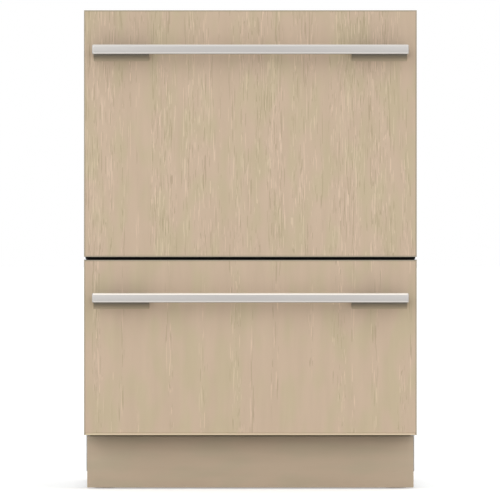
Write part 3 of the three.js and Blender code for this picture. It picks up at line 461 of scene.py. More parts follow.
def oak(name, shades, grain, fleck_strength, fleck_start):
    """Straight-grained veneer under matt lacquer: soft pinkish and olive patches, and short flecks,
    a light one beside a dark one, that stand in loose columns. Fewer columns have flecks where
    fleck_start is higher. shades: pale, deep, pale olive and deep olive."""
    pale, deep, pale_olive, deep_olive = (tone(*shade) for shade in shades)

    def along(across, length):
        return tuple(across if g else length for g in grain)

    wood = Finish(name, roughness=0.62, specular=0.35)

    def flecks(length, place):
        beside = tuple(at + FLECK_SHADOW * g for at, g in zip(place, grain))
        light, dark = (
            wood.noise(along(FLECKS_ACROSS, length), detail=0.0, shift=at).rise(*FLECK_EDGE)
            for at in (place, beside)
        )
        columns = wood.noise(along(COLUMNS_ACROSS, COLUMNS_ALONG), shift=place)
        return (light - dark) * columns.rise(fleck_start, fleck_start + 0.1)

    patches = wood.noise(along(33, 12), detail=1.0).rise(0.4, 0.7)
    cloud = wood.noise(along(60, 7), shift=(3.1, 1.7, 0.4))
    fine = wood.noise(along(520, 60), detail=1.0, shift=(7.7, 2.3, 5.1))
    grained = flecks(26, (1.3, 4.4, 2.6)) + flecks(44, (5.2, 8.1, 9.4))
    shade = 0.5 + (cloud - 0.5) * 0.4 + (fine - 0.5) * 0.08 + grained * fleck_strength
    plain, olive = wood.blend(shade, deep, pale), wood.blend(shade, deep_olive, pale_olive)
    wood.put("Base Color", wood.blend(patches, plain, olive))
    wood.put("Roughness", 0.56 + fine * 0.14)
    wood.bump(fine * 0.4 + grained * 0.5, 0.00005)
    return wood


def moulded(name, colour, pale, roughness, texture=900.0, depth=0.00005, specular=0.5):
    """Moulded plastic: a fine etched texture and faint flow clouds."""
    plastic = Finish(name, roughness=roughness, specular=specular)
    cloud = plastic.noise((7, 7, 7), detail=3.0)
    etched = plastic.noise((texture,) * 3, detail=2.0)
    plastic.put("Base Color", plastic.blend(cloud.rise(0.3, 0.7), colour, pale))
    plastic.put("Roughness", roughness - 0.06 + etched * 0.12)
    plastic.bump(etched, depth, 0.6)
    return plastic


def painted_shade_ramp(name, below, above, level, rise):
    """Satin paint with painted shade: its colour runs from one tone at a level, in millimetres, to
    another above it.
    """
    paint = Finish(name, roughness=0.5, specular=0.3)
    height = paint.node("ShaderNodeSeparateXYZ", sockets={0: paint.place}, out=2)
    share = (height - level * MM) * (1 / (rise * MM))
    paint.put("Base Color", paint.blend(share, below, above))
    paint.bump(paint.noise((1400, 1400, 1400)), 0.00003)
    return paint


BRUSH_STREAK = 0.05  # how far the roughness swings between the lines


def brushed(name, colour, pale, roughness, along):
    """Metal with fine brush lines along one axis."""
    metal = Finish(name, roughness=roughness, metallic=1.0)
    lines = metal.noise(along, detail=3.0, rough=0.65)
    haze = metal.noise((5, 14, 14), shift=(2, 5, 1))
    metal.put("Base Color", metal.blend(lines * 0.6 + haze * 0.4, colour, pale))
    metal.put("Roughness", roughness - BRUSH_STREAK + lines * (2 * BRUSH_STREAK))
    metal.bump(lines, 0.00002)
    return metal


def spangled(name):
    """Hot-dip galvanised sheet: crystal patches that each catch the light in their own way."""
    zinc = Finish(name, roughness=0.45, metallic=0.85)
    crystals = zinc.node(
        "ShaderNodeTexVoronoi",
        {"feature": "F1", "distance": "EUCLIDEAN"},
        {"Vector": zinc.place, "Scale": 95.0, "Randomness": 1.0},
        out="Color",
    )
    patch = zinc.node("ShaderNodeSeparateColor", sockets={"Color": crystals})
    frost = zinc.noise((420, 420, 420), detail=3.0)
    cloud = zinc.noise((9, 9, 9))
    share = patch * 0.45 + frost * 0.25 + cloud * 0.3
    zinc.put("Base Color", zinc.blend(share, tone(152, 156, 158), tone(198, 201, 203)))
    zinc.put("Roughness", 0.36 + patch * 0.16 + frost * 0.08)
    zinc.bump(frost * 0.4 + patch * 0.6, 0.00003)
    return zinc


FRONT_SHADES = ((216, 193, 170), (186, 165, 141), (210, 193, 164), (182, 165, 136))
EDGING_SHADES = ((182, 170, 150), (168, 156, 136), (180, 170, 148), (166, 156, 134))
LIPPING_SHADES = ((228, 209, 181), (214, 195, 167), (225, 209, 178), (212, 195, 164))
KICK_SHADES = ((200, 181, 158), (175, 156, 134), (195, 180, 156), (171, 155, 132))
OAK = {
    "top": oak("oak_veneer", FRONT_SHADES, UPRIGHT_GRAIN, fleck_strength=2.2, fleck_start=0.475),
    "bottom": oak("calm_oak_veneer", FRONT_SHADES, UPRIGHT_GRAIN, fleck_strength=1.8, fleck_start=0.57),
}
OAK_EDGING = oak("oak_edging", EDGING_SHADES, UPRIGHT_GRAIN, fleck_strength=0.2, fleck_start=0.5)
OAK_LIPPING = oak("oak_lipping", LIPPING_SHADES, LEVEL_GRAIN, fleck_strength=0.2, fleck_start=0.6)
KICK_OAK = oak("kick_oak", KICK_SHADES, LEVEL_GRAIN, fleck_strength=0.4, fleck_start=0.66)
LONG_LINES, DEEP_LINES = (9, 1500, 1500), (700, 12, 700)  # brushed along X, and along Y
ALUMINIUM = brushed(
    "brushed_aluminium", tone(171, 168, 166), tone(186, 183, 180), 0.36, LONG_LINES
)
RUNNER_STEEL = brushed("zinc_runner", tone(176, 180, 184), tone(203, 206, 210), 0.33, DEEP_LINES)
ZINC = spangled("galvanised_sheet")
# Painted highlights: brighter metal standing for the glints along the bars' edges; the lower bar's top
# glint is painted brighter still.
BAR_PAINTED_HIGHLIGHT = {
    "top": brushed("bar_painted_highlight", tone(199, 196, 192), tone(208, 205, 200), 0.3, LONG_LINES),
    "bottom": brushed("bar_brighter_painted_highlight", tone(236, 229, 219), tone(244, 238, 229), 0.3, LONG_LINES),
}
# Painted shade on the brackets: a wood-like tone at the toe, darkening to grey up under the bar.
BRACKET_PAINTED_SHADE = {"below": tone(183, 166, 140), "above": tone(94, 94, 89)}
BLACK = moulded("black_door", tone(10, 9, 9), tone(14, 13, 13), 0.5, specular=0.3)
GREY = moulded("tub_grey", tone(150, 156, 161), tone(160, 165, 170), 0.42, 500, 0.00002)
PALE = moulded("pale_grey", tone(199, 202, 204), tone(208, 211, 212), 0.4, 600, 0.00002)
DARK = moulded("dark_grey", tone(66, 70, 74), tone(76, 80, 84), 0.5)
BUTTON = moulded("button_grey", tone(44, 46, 49), tone(51, 53, 56), 0.32, 1600, 0.00001)
PLINTH_SEAL = moulded("plinth_seal", tone(150, 129, 99), tone(160, 138, 107), 0.7, specular=0.2)
RUBBER = moulded("seal_rubber", tone(38, 39, 41), tone(46, 47, 49), 0.8, 700, 0.00006, 0.25)
WIRE = moulded("coated_wire", tone(176, 182, 188), tone(187, 193, 198), 0.36, 300, 0.00004)
WHITE = moulded("white_plastic", tone(222, 222, 217), tone(231, 231, 227), 0.44)
GLOSS = moulded("display_gloss", tone(9, 9, 11), tone(13, 13, 15), 0.12, 40, 0.000002)
LENS = moulded("lamp_lens", tone(205, 226, 214), tone(214, 232, 221), 0.2, 200, 0.00001)


# ---------------------------------------------------------------- fronts
PANEL_EDGE = 0.45
VENEER_EDGE = 0.15
EDGE_BAND = 2.2  # solid edging round the fronts
LIPPING_HEIGHT = 3.6  # solid strip along the lower front's bottom edge
LIPPING_EDGE = 1.3
LIPPING_JOINT = 0.9  # sunk line between the lipping and the veneer, as deep as it is high
GAP_SHADE_STRIP = 0.65  # black strip over the lower front's top edge: painted shade that widens the dark gap above it


def grooved(shape, normal, axis, level, width, depth):
    """Sinks a narrow line across the faces that look along normal, at one level of an axis."""

    def looking():
        return [face for face in shape.faces if face.normal.dot(normal) > 0.9]

    for edge_level in (level - width / 2, level + width / 2):
        faces = looking()
        touched = {part for face in faces for part in (*face.edges, *face.verts)}
        bmesh.ops.bisect_plane(
            shape,
            geom=faces + list(touched),
            dist=0.001,
            plane_co=axis * edge_level,
            plane_no=axis,
        )
    bmesh.ops.inset_region(
        shape,
        faces=[
            face
            for face in looking()
            if abs(face.calc_center_median().dot(axis) - level) < width / 2
        ],
        thickness=width * 0.25,
        depth=-depth,
        use_boundary=False,
        use_even_offset=True,
    )
    return shape


def wooden_front(prefix):
    """A veneered board in solid edging; the lower one has a black strip of painted gap shade above and
    a lipping below.
    """
    node, body = f"{prefix}_front_panel", f"{prefix}_drawer"
    low, high = span(node)
    lower = prefix == "bottom"
    below, joint = (LIPPING_HEIGHT, LIPPING_JOINT) if lower else (EDGE_BAND, 0)
    # Painted shade: a thin black strip on the lower front's top edge darkens the gap between the
    # fronts.
    if lower:
        level = high.z - GAP_SHADE_STRIP
        shade_strip = flat_box((low.x, low.y, level), high)
        piece("bottom_gap_painted_shade", [shade_strip], BLACK, body)
        high.z = level
    left, right = low.x + EDGE_BAND, high.x - EDGE_BAND
    top, foot = high.z - EDGE_BAND, low.z + below
    face = [block((left, low.y, foot + joint), (right, high.y, top), VENEER_EDGE, 1)]
    edging = [
        block(low, (left, high.y, high.z), PANEL_EDGE),
        block((right, low.y, low.z), high, PANEL_EDGE),
        block((left, low.y, top), (right, high.y, high.z), PANEL_EDGE),
    ]
    foot_low, foot_high = (left, low.y, low.z), (right, high.y, foot)
    if lower:
        behind = flat_box((left, low.y + joint, foot - 0.2), (right, high.y, foot + joint + 0.2))
        face.append(behind)
        lipping = block(foot_low, foot_high, LIPPING_EDGE, 3)
        piece("bottom_oak_lipping", [lipping], OAK_LIPPING, body)
    else:
        edging.append(block(foot_low, foot_high, PANEL_EDGE))
    piece(f"{prefix}_oak_front", face, OAK[prefix], body, [node])
    piece(f"{prefix}_oak_edging", edging, OAK_EDGING, body)


BAR_EDGE = 1.9
HIGHLIGHT_STRIP_PROUD = 0.05  # painted highlight strips stand this far before the bar's face
# Sections of the painted highlight strips: depth behind the bar's face, and distance from its edge.
TOP_HIGHLIGHT_SECTION = ((0, 3.0), (0, 1.2), (1.2, 0), (2.5, 0), (2.5, 3.0))
FOOT_HIGHLIGHT_SECTION = ((0, 2.9), (0, 1.1), (1, 1.1), (1, 2.9))
BRACKET_EDGE = 0.5
BRACKET_DROP = 1  # bracket's underside below the bar's, where it meets the bar
BRACKET_TOE_DROP = 12  # and where it meets the front
COVE_STEPS = 12  # facets of the bracket's hollowed underside
BRACKET_SCREW_INSET = 22
BRACKET_SCREW_DEPTH = 2.4
BRACKET_SCREW_RADIUS, BRACKET_SCREW_RISE = 4.2, 1.6
BRACKET_WELL_RADIUS = 5.2


def painted_highlight_strip(low, high, section, edge, inward):
    """A thin strip of painted highlight along the bar's front, its section measured inward from one
    edge.
    """
    outline = [(low.x + BAR_EDGE, low.y + depth, edge + inward * far) for depth, far in section]
    return plate(outline, Vector((high.x - low.x - 2 * BAR_EDGE, 0, 0)))


def handle(prefix):
    """A square bar with painted highlight strips at its edges, on two brackets whose hollowed underside
    has painted shade.
    """
    node, body = f"{prefix}_handle_bar", f"{prefix}_drawer"
    bar_low, bar_high = span(node)
    bar = block(bar_low + HIGHLIGHT_STRIP_PROUD * Y, bar_high, BAR_EDGE, 4)
    piece(f"{prefix}_bar", [bar], ALUMINIUM, body, [node])
    top_highlight = painted_highlight_strip(bar_low, bar_high, TOP_HIGHLIGHT_SECTION, bar_high.z, -1)
    foot_highlight = painted_highlight_strip(bar_low, bar_high, FOOT_HIGHLIGHT_SECTION, bar_low.z, 1)
    # Painted highlight strips along the top and the foot of the bar's front.
    piece(f"{prefix}_bar_top_line", [top_highlight], BAR_PAINTED_HIGHLIGHT[prefix], body)
    piece(f"{prefix}_bar_foot_painted_highlight", [foot_highlight], BAR_PAINTED_HIGHLIGHT["top"], body)
    toe = bar_low.z - BRACKET_TOE_DROP
    rise = BRACKET_TOE_DROP - BRACKET_DROP
    # Painted shade: each bracket's colour darkens from its toe up to the bar.
    paint = painted_shade_ramp(f"{prefix}_bracket_painted_shade", **BRACKET_PAINTED_SHADE, level=toe, rise=BRACKET_TOE_DROP)
    for side, _ in SIDES:
        node = f"{prefix}_handle_bracket_{side}"
        low, high = span(node)
        turns = (math.pi / 2 * i / COVE_STEPS for i in range(COVE_STEPS + 1))
        cove = [
            (low.x, low.y + (high.y - low.y) * math.sin(turn), toe + rise * math.cos(turn))
            for turn in turns
        ]
        profile = [*cove, (low.x, high.y, high.z), (low.x, low.y, high.z)]
        foot = soften(plate(profile, Vector((high.x - low.x, 0, 0))), BRACKET_EDGE)
        places = [
            Vector((x, (low.y + high.y) / 2, high.z - BRACKET_SCREW_DEPTH))
            for x in (low.x + BRACKET_SCREW_INSET, high.x - BRACKET_SCREW_INSET)
        ]
        deep = 2 * BRACKET_SCREW_DEPTH * Z
        wells = [rod(place, place + deep, BRACKET_WELL_RADIUS) for place in places]
        screws = [screw(place, Z, BRACKET_SCREW_RADIUS, BRACKET_SCREW_RISE) for place in places]
        foot = carved(foot, wells)
        piece(f"{prefix}_bracket_{side}", [foot], paint, body, [node])
        piece(f"{prefix}_bracket_screws_{side}", screws, RUNNER_STEEL, body)


DISPLAY_HALF = 62
DISPLAY_HALF_DEPTH = 5
DISPLAY_SEAM = 0.3  # between the glass and its window
LAMP_PLACES = (-48, -32, -16, 0, 16, 32, 48)
DOOR_EDGE = 1.6
DOOR_LINE = 6  # the line round the door lies this far before its back
BUTTON_SEAM = 0.4
BUTTON_POCKET = 7


def inner_door(prefix):
    """The insulated door behind the wooden front, with its buttons and display in the top edge."""
    node, body = f"{prefix}_inner_door", f"{prefix}_drawer"
    low, high = span(node)
    mid_y = (low.y + high.y) / 2

    def display(half_x, half_y, low_z, high_z, edge=0.0):
        corner = (half_x, mid_y + half_y, high.z + high_z)
        return rounded_block((-half_x, mid_y - half_y, high.z + low_z), corner, 2, edge)

    shape = block(low, high, DOOR_EDGE, 3)
    wells = []
    for which in ("power", "start"):
        a, b = span(f"{prefix}_{which}_button")
        a, b = a - BUTTON_SEAM * (X + Y), b + BUTTON_SEAM * (X + Y)
        wells.append(rounded_block((a.x, a.y, high.z - BUTTON_POCKET), (b.x, b.y, high.z + 2), 2))
    shape = carved(shape, [*wells, display(DISPLAY_HALF, DISPLAY_HALF_DEPTH, -0.8, 2)])
    for normal in (X, -X, Z):
        grooved(shape, normal, Y, high.y - DOOR_LINE, 1.0, 0.7)
    piece(f"{prefix}_door", [shape], BLACK, body, [node])
    half_x, half_y = DISPLAY_HALF - DISPLAY_SEAM, DISPLAY_HALF_DEPTH - DISPLAY_SEAM
    glass = display(half_x, half_y, -1.5, -0.2, 0.3)
    piece(f"{prefix}_display", [glass], GLOSS, body)
    lamps = [
        rod((x, mid_y, high.z - 0.6), (x, mid_y, high.z - 0.05), 1.5, 20, 0.15)
        for x in LAMP_PLACES
    ]
    piece(f"{prefix}_indicator_lamps", lamps, LENS, body)


def buttons(prefix):
    """Two keys, each with a shallow dish for the finger."""
    for which in ("power", "start"):
        node = f"{prefix}_{which}_button"
        low, high = span(node)
        centre = (low + high) / 2
        dish = turned(
            [(0, 0.35), (3.2, 0.35), (4.2, 1.2), (4.2, 3), (0, 3)],
            (centre.x, centre.y, high.z - 0.9),
        )
        cap = carved(rounded_block(low, high, 2, 0.6), [dish])
        piece(f"{prefix}_{which}_key", [cap], BUTTON, node, [node])


# ---------------------------------------------------------------- tubs
WALL = 3
TUB_CORNER = 45
TUB_FILLET = 22
FLANGE_HEIGHT = 9
FLANGE_WIDTH = 9
SUMP_RADIUS = 112
SUMP_DEPTH = 18
SUMP_LEDGE = 7
FLOOR_FALL = 2
PLATE_THICKNESS = 4
SEAT_GAP = 0.3
POST_RADIUS = 12
POST_RISE = 16
POST_FOOT_RADIUS = 24
RUNNER_BOSS = 24
RUNNER_BOSS_INSET = 7.8  # from the runner's outer face
SIDE_RIBS = 9


def outline_edges(shape):
    """The edges round the shape's openings."""
    return [edge for edge in shape.edges if edge.is_boundary]


def tub(prefix):
    """The moulded tub with its flange, sump, spray arm post, side ribs and the runners' bosses."""
    node = f"{prefix}_tub"
    low, high = span(node)
    centre = (low + high) / 2
    floor = low.z + WALL + SUMP_DEPTH
    half_x = (high.x - low.x) / 2 - FLANGE_WIDTH - WALL
    half_y = (high.y - low.y) / 2 - WALL

    # The skin that the water meets: a bevelled box without a lid, opened for the round sump.
    skin = flat_box((-half_x, centre.y - half_y, floor), (half_x, centre.y + half_y, high.z))
    soften(skin, TUB_CORNER - WALL, 9, upright)
    soften(skin, TUB_FILLET, 6, lambda edge: all(v.co.z < floor + 0.1 for v in edge.verts))
    caps = [face for face in skin.faces if abs(face.normal.z) > 0.99 and face.calc_area() > 5000]
    bmesh.ops.delete(skin, geom=caps, context="FACES")
    bottom = [e for e in outline_edges(skin) if all(v.co.z < floor + 0.1 for v in e.verts)]
    circle = bmesh.ops.create_circle(
        skin,
        segments=64,
        radius=SUMP_RADIUS,
        matrix=Matrix.Translation((0, centre.y, floor - FLOOR_FALL)),
    )
    ring = list({edge for vert in circle["verts"] for edge in vert.link_edges})
    bmesh.ops.bridge_loops(skin, edges=bottom + ring)
    ledge = floor - FLOOR_FALL - PLATE_THICKNESS - SEAT_GAP
    for radius, level in (
        (SUMP_RADIUS, ledge),
        (SUMP_RADIUS - SUMP_LEDGE, ledge),
        (SUMP_RADIUS - SUMP_LEDGE - 2, floor - SUMP_DEPTH + 3),
        (SUMP_RADIUS - SUMP_LEDGE - 6, floor - SUMP_DEPTH),
    ):
        pushed = bmesh.ops.extrude_edge_only(skin, edges=ring)
        edges = [part for part in pushed["geom"] if isinstance(part, bmesh.types.BMEdge)]
        ring = [edge for edge in edges if edge.is_boundary]
        for vert in (part for part in pushed["geom"] if isinstance(part, bmesh.types.BMVert)):
            flat = Vector((vert.co.x, vert.co.y - centre.y, 0)).normalized() * radius
            vert.co = (flat.x, flat.y + centre.y, level)
    bmesh.ops.contextual_create(skin, geom=ring)
    bmesh.ops.recalc_face_normals(skin, faces=skin.faces)
    outward = next(f for f in skin.faces if f.calc_center_median().x > half_x - 0.1)
    sign = -1 if outward.normal.x > 0 else 1
    bmesh.ops.solidify(skin, geom=skin.faces[:], thickness=sign * WALL)

    flange = rounded_block(
        (low.x, low.y, high.z - FLANGE_HEIGHT), (high.x, high.y, high.z - 0.4), TUB_CORNER, 1.2, 9
    )
    opening = rounded_block(
        (-half_x - 1, centre.y - half_y - 1, high.z - 30),
        (half_x + 1, centre.y + half_y + 1, high.z + 9),
        TUB_CORNER - WALL,
        steps=9,
    )
    flange = carved(flange, [opening])

    post_foot = floor - SUMP_DEPTH
    post = turned(
        [
            (0, post_foot - 1),
            (POST_FOOT_RADIUS, post_foot - 1),
            (POST_FOOT_RADIUS, post_foot + 2),
            (POST_RADIUS + 2, post_foot + 7),
            (POST_RADIUS, floor - 2),
            (POST_RADIUS, floor + POST_RISE - 1.5),
            (POST_RADIUS - 1.5, floor + POST_RISE),
            (0, floor + POST_RISE),
        ],
        (0, centre.y, 0),
    )
    parts = [skin, flange, post]
    rest = REST_HEIGHT[prefix]
    if rest:
        for x, y in leg_places(prefix):
            foot, head = (x, y, floor - FLOOR_FALL), (x, y, floor + rest)
            parts.append(rod(foot, head, REST_RADIUS, 24, 0.8))
    carriage_low, carriage_high = span(f"{prefix}_runner_carriage")
    runner_z = (carriage_low.z + carriage_high.z) / 2
    boss_reach = carriage_high.x - RUNNER_BOSS_INSET
    boss_low = (low.y + 50, runner_z - RUNNER_BOSS / 2)
    boss_high = (high.y - 50, runner_z + RUNNER_BOSS / 2)
    rib_foot, rib_top = runner_z + RUNNER_BOSS / 2 + 8, high.z - FLANGE_HEIGHT + 0.5
    near, far = half_x + WALL - 0.5, half_x + WALL + 3
    for _, side in SIDES:
        parts.append(side_block(side, half_x + 1, boss_reach, boss_low, boss_high, 1.0))
        for y in spaced(low.y + 60, high.y - 60, SIDE_RIBS):  # upright stiffening ribs
            rib = side_block(side, near, far, (y - 1.5, rib_foot), (y + 1.5, rib_top), 0.6)
            parts.append(rib)
    piece(f"{prefix}_wash_tub", parts, GREY, f"{prefix}_drawer", [node])


PUMP_RIBS = 16
PIPE_RADIUS, BARB_RADIUS = 9.5, 11
BARB_PLACES = (5, 12)  # from the end of the pipe


def wash_pump(prefix):
    """The flat wash and drain pump under the sump, with its outlet at the back."""
    node = f"{prefix}_wash_pump"
    low, high = span(node)
    radius = (high.x - low.x) / 2
    centre = Vector((0, low.y + radius, (low.z + high.z) / 2))
    case = turned(
        [
            (0, low.z),
            (30, low.z),
            (34, low.z + 3),
            (radius - 18, low.z + 3),
            (radius - 9, low.z + 8),
            (radius - 3, low.z + 20),
            (radius - 3, high.z - 8),
            (radius, high.z - 8),
            (radius, high.z - 1),
            (radius - 1, high.z),
            (0, high.z),
        ],
        (centre.x, centre.y, 0),
    )
    ribs = block_ring(
        (34, centre.y - 1.2, low.z + 1),
        (radius - 5, centre.y + 1.2, low.z + 12),
        0.5,
        PUMP_RIBS,
        (0, centre.y, 0),
        start=0.5,
    )

    def length(start, end, thick, edge=0.0, far_thick=None):
        return rod((0, start, centre.z), (0, end, centre.z), thick, 28, edge, far_thick)

    pipe = length(centre.y + radius - 12, high.y, PIPE_RADIUS)
    barbs = [
        length(high.y - back, high.y - back + 5, BARB_RADIUS, 0, PIPE_RADIUS - 0.1)
        for back in BARB_PLACES
    ]
    collar = length(high.y - 24, high.y - 19, BARB_RADIUS, 0.6)
    shapes = [case, *ribs, pipe, collar, *barbs]
    piece(f"{prefix}_pump", shapes, DARK, f"{prefix}_drawer", [node])


FILTER_CAP_X = 66
FILTER_CAP_RADIUS = 24
FILTER_CAP_TEETH = 24
FILTER_RINGS = 9
FILTER_SECTORS = 60
FILTER_BAR = 1.1  # round each hole
FILTER_HOLE_DEPTH = 1.6
FILTER_SKIN = 0.3


def filter_plate(prefix):
    """The perforated plate over the sump, and the turned cap of the drain filter."""
    node, body = f"{prefix}_filter_plate", f"{prefix}_drawer"
    low, high = span(node)
    radius = (high.x - low.x) / 2
    centre_y = (low.y + high.y) / 2
    top = low.z + PLATE_THICKNESS
    inner, outer = 30.0, radius - 10

    plate_shape = turned(
        [
            (POST_RADIUS + 0.8, low.z),
            (radius - 1, low.z),
            (radius, low.z + 1),
            (radius, top - 0.8),
            (radius - 0.8, top),
            (outer + 3, top),
            (outer + 1.5, top - 1.2),
            (inner - 1.5, top - 1.2),
            (inner - 3, top),
            (POST_RADIUS + 1.8, top),
            (POST_RADIUS + 0.8, top - 1),
            (POST_RADIUS + 0.8, low.z),
        ],
        (0, centre_y, 0),
        steps=72,
    )
    holes = bmesh.new()
    corners = [
        holes.verts.new((inner + (outer - inner) * i / FILTER_RINGS, 0, top - 1.0))
        for i in range(FILTER_RINGS + 1)
    ]
    for near, far in zip(corners, corners[1:]):
        holes.edges.new((near, far))
    bmesh.ops.spin(
        holes,
        geom=holes.verts[:] + holes.edges[:],
        cent=(0, 0, 0),
        axis=Z,
        angle=math.tau,
        steps=FILTER_SECTORS,
        use_merge=True,
    )
    bmesh.ops.translate(holes, vec=(0, centre_y, 0), verts=holes.verts)
    bmesh.ops.recalc_face_normals(holes, faces=holes.faces)
    if holes.faces[:][0].normal.z < 0:
        bmesh.ops.reverse_faces(holes, faces=holes.faces)
    cap_place = Vector((FILTER_CAP_X, centre_y, 0))
    covered = [
        face
        for face in holes.faces
        if (face.calc_center_median() - cap_place).xy.length < FILTER_CAP_RADIUS + 3
    ]
    bmesh.ops.delete(holes, geom=covered, context="FACES")
    cells = holes.faces[:]
    bmesh.ops.inset_individual(holes, faces=cells, thickness=FILTER_BAR, use_even_offset=True)
    sunk = list({vert for cell in cells for vert in cell.verts})
    bmesh.ops.translate(holes, vec=(0, 0, -FILTER_HOLE_DEPTH), verts=sunk)
    bmesh.ops.solidify(holes, geom=holes.faces[:], thickness=FILTER_SKIN)
    piece(f"{prefix}_filter", [plate_shape, holes], GREY, body, [node])

    cap = turned(
        [
            (0, top),
            (FILTER_CAP_RADIUS, top - 1),
            (FILTER_CAP_RADIUS, top + 2.2),
            (FILTER_CAP_RADIUS - 1.2, top + 3.2),
            (13, top + 3.2),
            (12, top + 1.6),
            (0, top + 1.6),
        ],
        (FILTER_CAP_X, centre_y, 0),
    )
    grip = block(
        (FILTER_CAP_X - 19, centre_y - 2.2, top + 1),
        (FILTER_CAP_X + 19, centre_y + 2.2, high.z),
        1.2,
        3,
    )
    rim = FILTER_CAP_X + FILTER_CAP_RADIUS
    teeth = block_ring(
        (rim - 3, centre_y - 1, top - 0.5),
        (rim - 0.2, centre_y + 1, top + 3.0),
        0.4,
        FILTER_CAP_TEETH,
        cap_place,
    )
    piece(f"{prefix}_filter_cap", [cap, grip, *teeth], DARK, body)


ARM_ROOT = 48
ARM_TIP = 30
ARM_SWEEP = 0.42
ARM_THICKNESS = 11
ARM_LENGTH = 196
ARM_STEPS = 14
ARM_HUB_RADIUS = 23
NOZZLE_REACHES = (58, 88, 116, 142, 164, 182)
NOZZLE_SIDE = 0.42  # share of the half width; the jets stand on either side in turn


def arm_point(reach, side, turned_by):
    """A point on the blade: side -1 and 1 are its edges, and 0 is its middle line."""
    share = reach / ARM_LENGTH
    angle = ARM_SWEEP * share**2 + turned_by
    width = ARM_ROOT + (ARM_TIP - ARM_ROOT) * share
    across = angle + math.pi / 2
    x = reach * math.cos(angle) + side * width * math.cos(across) / 2
    y = reach * math.sin(angle) + side * width * math.sin(across) / 2
    return Vector((x, y, 0))


def spray_arm(prefix):
    """A hollow S-shaped arm that the water turns, with slanting jets along both blades."""
    node = f"{prefix}_spray_arm"
    low, high = span(node)
    hub = Vector((0, (low.y + high.y) / 2, 0))
    bottom = low.z + (high.z - low.z - ARM_THICKNESS) / 2
    top = bottom + ARM_THICKNESS
    jet = [
        (0, top + 0.2),
        (1.3, top + 0.2),
        (1.6, top + 1.5),
        (3.1, top + 1.5),
        (4.6, top - 0.5),
        (0, top - 0.5),
    ]
    reaches = [ARM_LENGTH * i / ARM_STEPS for i in range(ARM_STEPS + 1)]
    shapes, jets = [], []
    for half_turn in (0, math.pi):
        edge = [arm_point(r, -1, half_turn) for r in reaches]
        edge += [arm_point(r, 1, half_turn) for r in reversed(reaches)]
        outline = [point + hub + Z * bottom for point in edge]
        blade = plate(outline, (0, 0, ARM_THICKNESS))
        tip = arm_point(ARM_LENGTH, 0, half_turn) + hub

        def at_tip(edge, tip=tip):
            return upright(edge) and (edge.verts[0].co - tip).xy.length < ARM_TIP * 0.6

        soften(blade, 11, 6, at_tip)
        shapes.append(soften(blade, 3.4, 4))
        spine = [arm_point(r, 0, half_turn) + hub + Z * (top - 0.4) for r in reaches[2:-1]]
        shapes.append(wires([spine], 2.2, fineness=2))
        for i, reach in enumerate(NOZZLE_REACHES):
            side = NOZZLE_SIDE if i % 2 else -NOZZLE_SIDE
            jets.append(turned(jet, arm_point(reach, side, half_turn) + hub, steps=20))
    radius = ARM_HUB_RADIUS
    cap = turned(
        [
            (POST_RADIUS + 0.6, low.z),
            (radius - 1, low.z),
            (radius, low.z + 1),
            (radius, high.z - 5),
            (radius - 3, high.z - 2),
            (11, high.z),
            (0, high.z),
            (0, high.z - 4),
            (POST_RADIUS + 0.6, high.z - 6),
            (POST_RADIUS + 0.6, low.z),
        ],
        hub,
    )
    grip_low, grip_high = (15, hub.y - 1.4, high.z - 7), (21.5, hub.y + 1.4, high.z - 0.6)
    shapes += [cap, *block_ring(grip_low, grip_high, 0.6, 6, hub)]
    piece(f"{prefix}_spray_blade", shapes, GREY, node, [node])
    piece(f"{prefix}_spray_jets", jets, DARK, node)


# ---------------------------------------------------------------- racks
WIRE_RADIUS = 2.2
UPRIGHT_RADIUS = 2.0
TINE_RADIUS = 1.8
TINE_HEIGHT = 64
RACK_ABOVE_FLOOR = 55
CROSS_WIRES = 7
LONG_WIRES = 8
TINES = 8
TINE_MARGIN = 66
LEG_INSET = 34
FIXED_ROWS = (2, 4)  # lengthwise wires that carry fixed tines
CLIP_INSET = 11
RACK_HEIGHT = {"top": 95, "bottom": 50}
GRIP_HALF = 46
TIP_LENGTH = 1.6  # of a tine, inside its domed coating
REST_HEIGHT = {"top": 3, "bottom": 0}  # rests on the tub's floor under the rack's legs
REST_RADIUS = 8
WIRE_STACK = 2 * WIRE_RADIUS * math.cos(math.pi / 6) - 0.5  # wires that cross are welded


def leg_places(prefix):
    """Where the rack's four legs stand."""
    low, high = span(f"{prefix}_rack")
    inset = WIRE_RADIUS + LEG_INSET
    rows = spaced(low.y + WIRE_RADIUS, high.y - WIRE_RADIUS, CROSS_WIRES)
    return [(x, y) for x in (low.x + inset, high.x - inset) for y in (rows[1], rows[-2])]


def tine_tips(places):
    """Domed coating on the ends of the tines."""
    bead = bmesh.new()
    bmesh.ops.create_uvsphere(bead, u_segments=10, v_segments=6, radius=TINE_RADIUS + 0.35)
    return copies(bead, places)


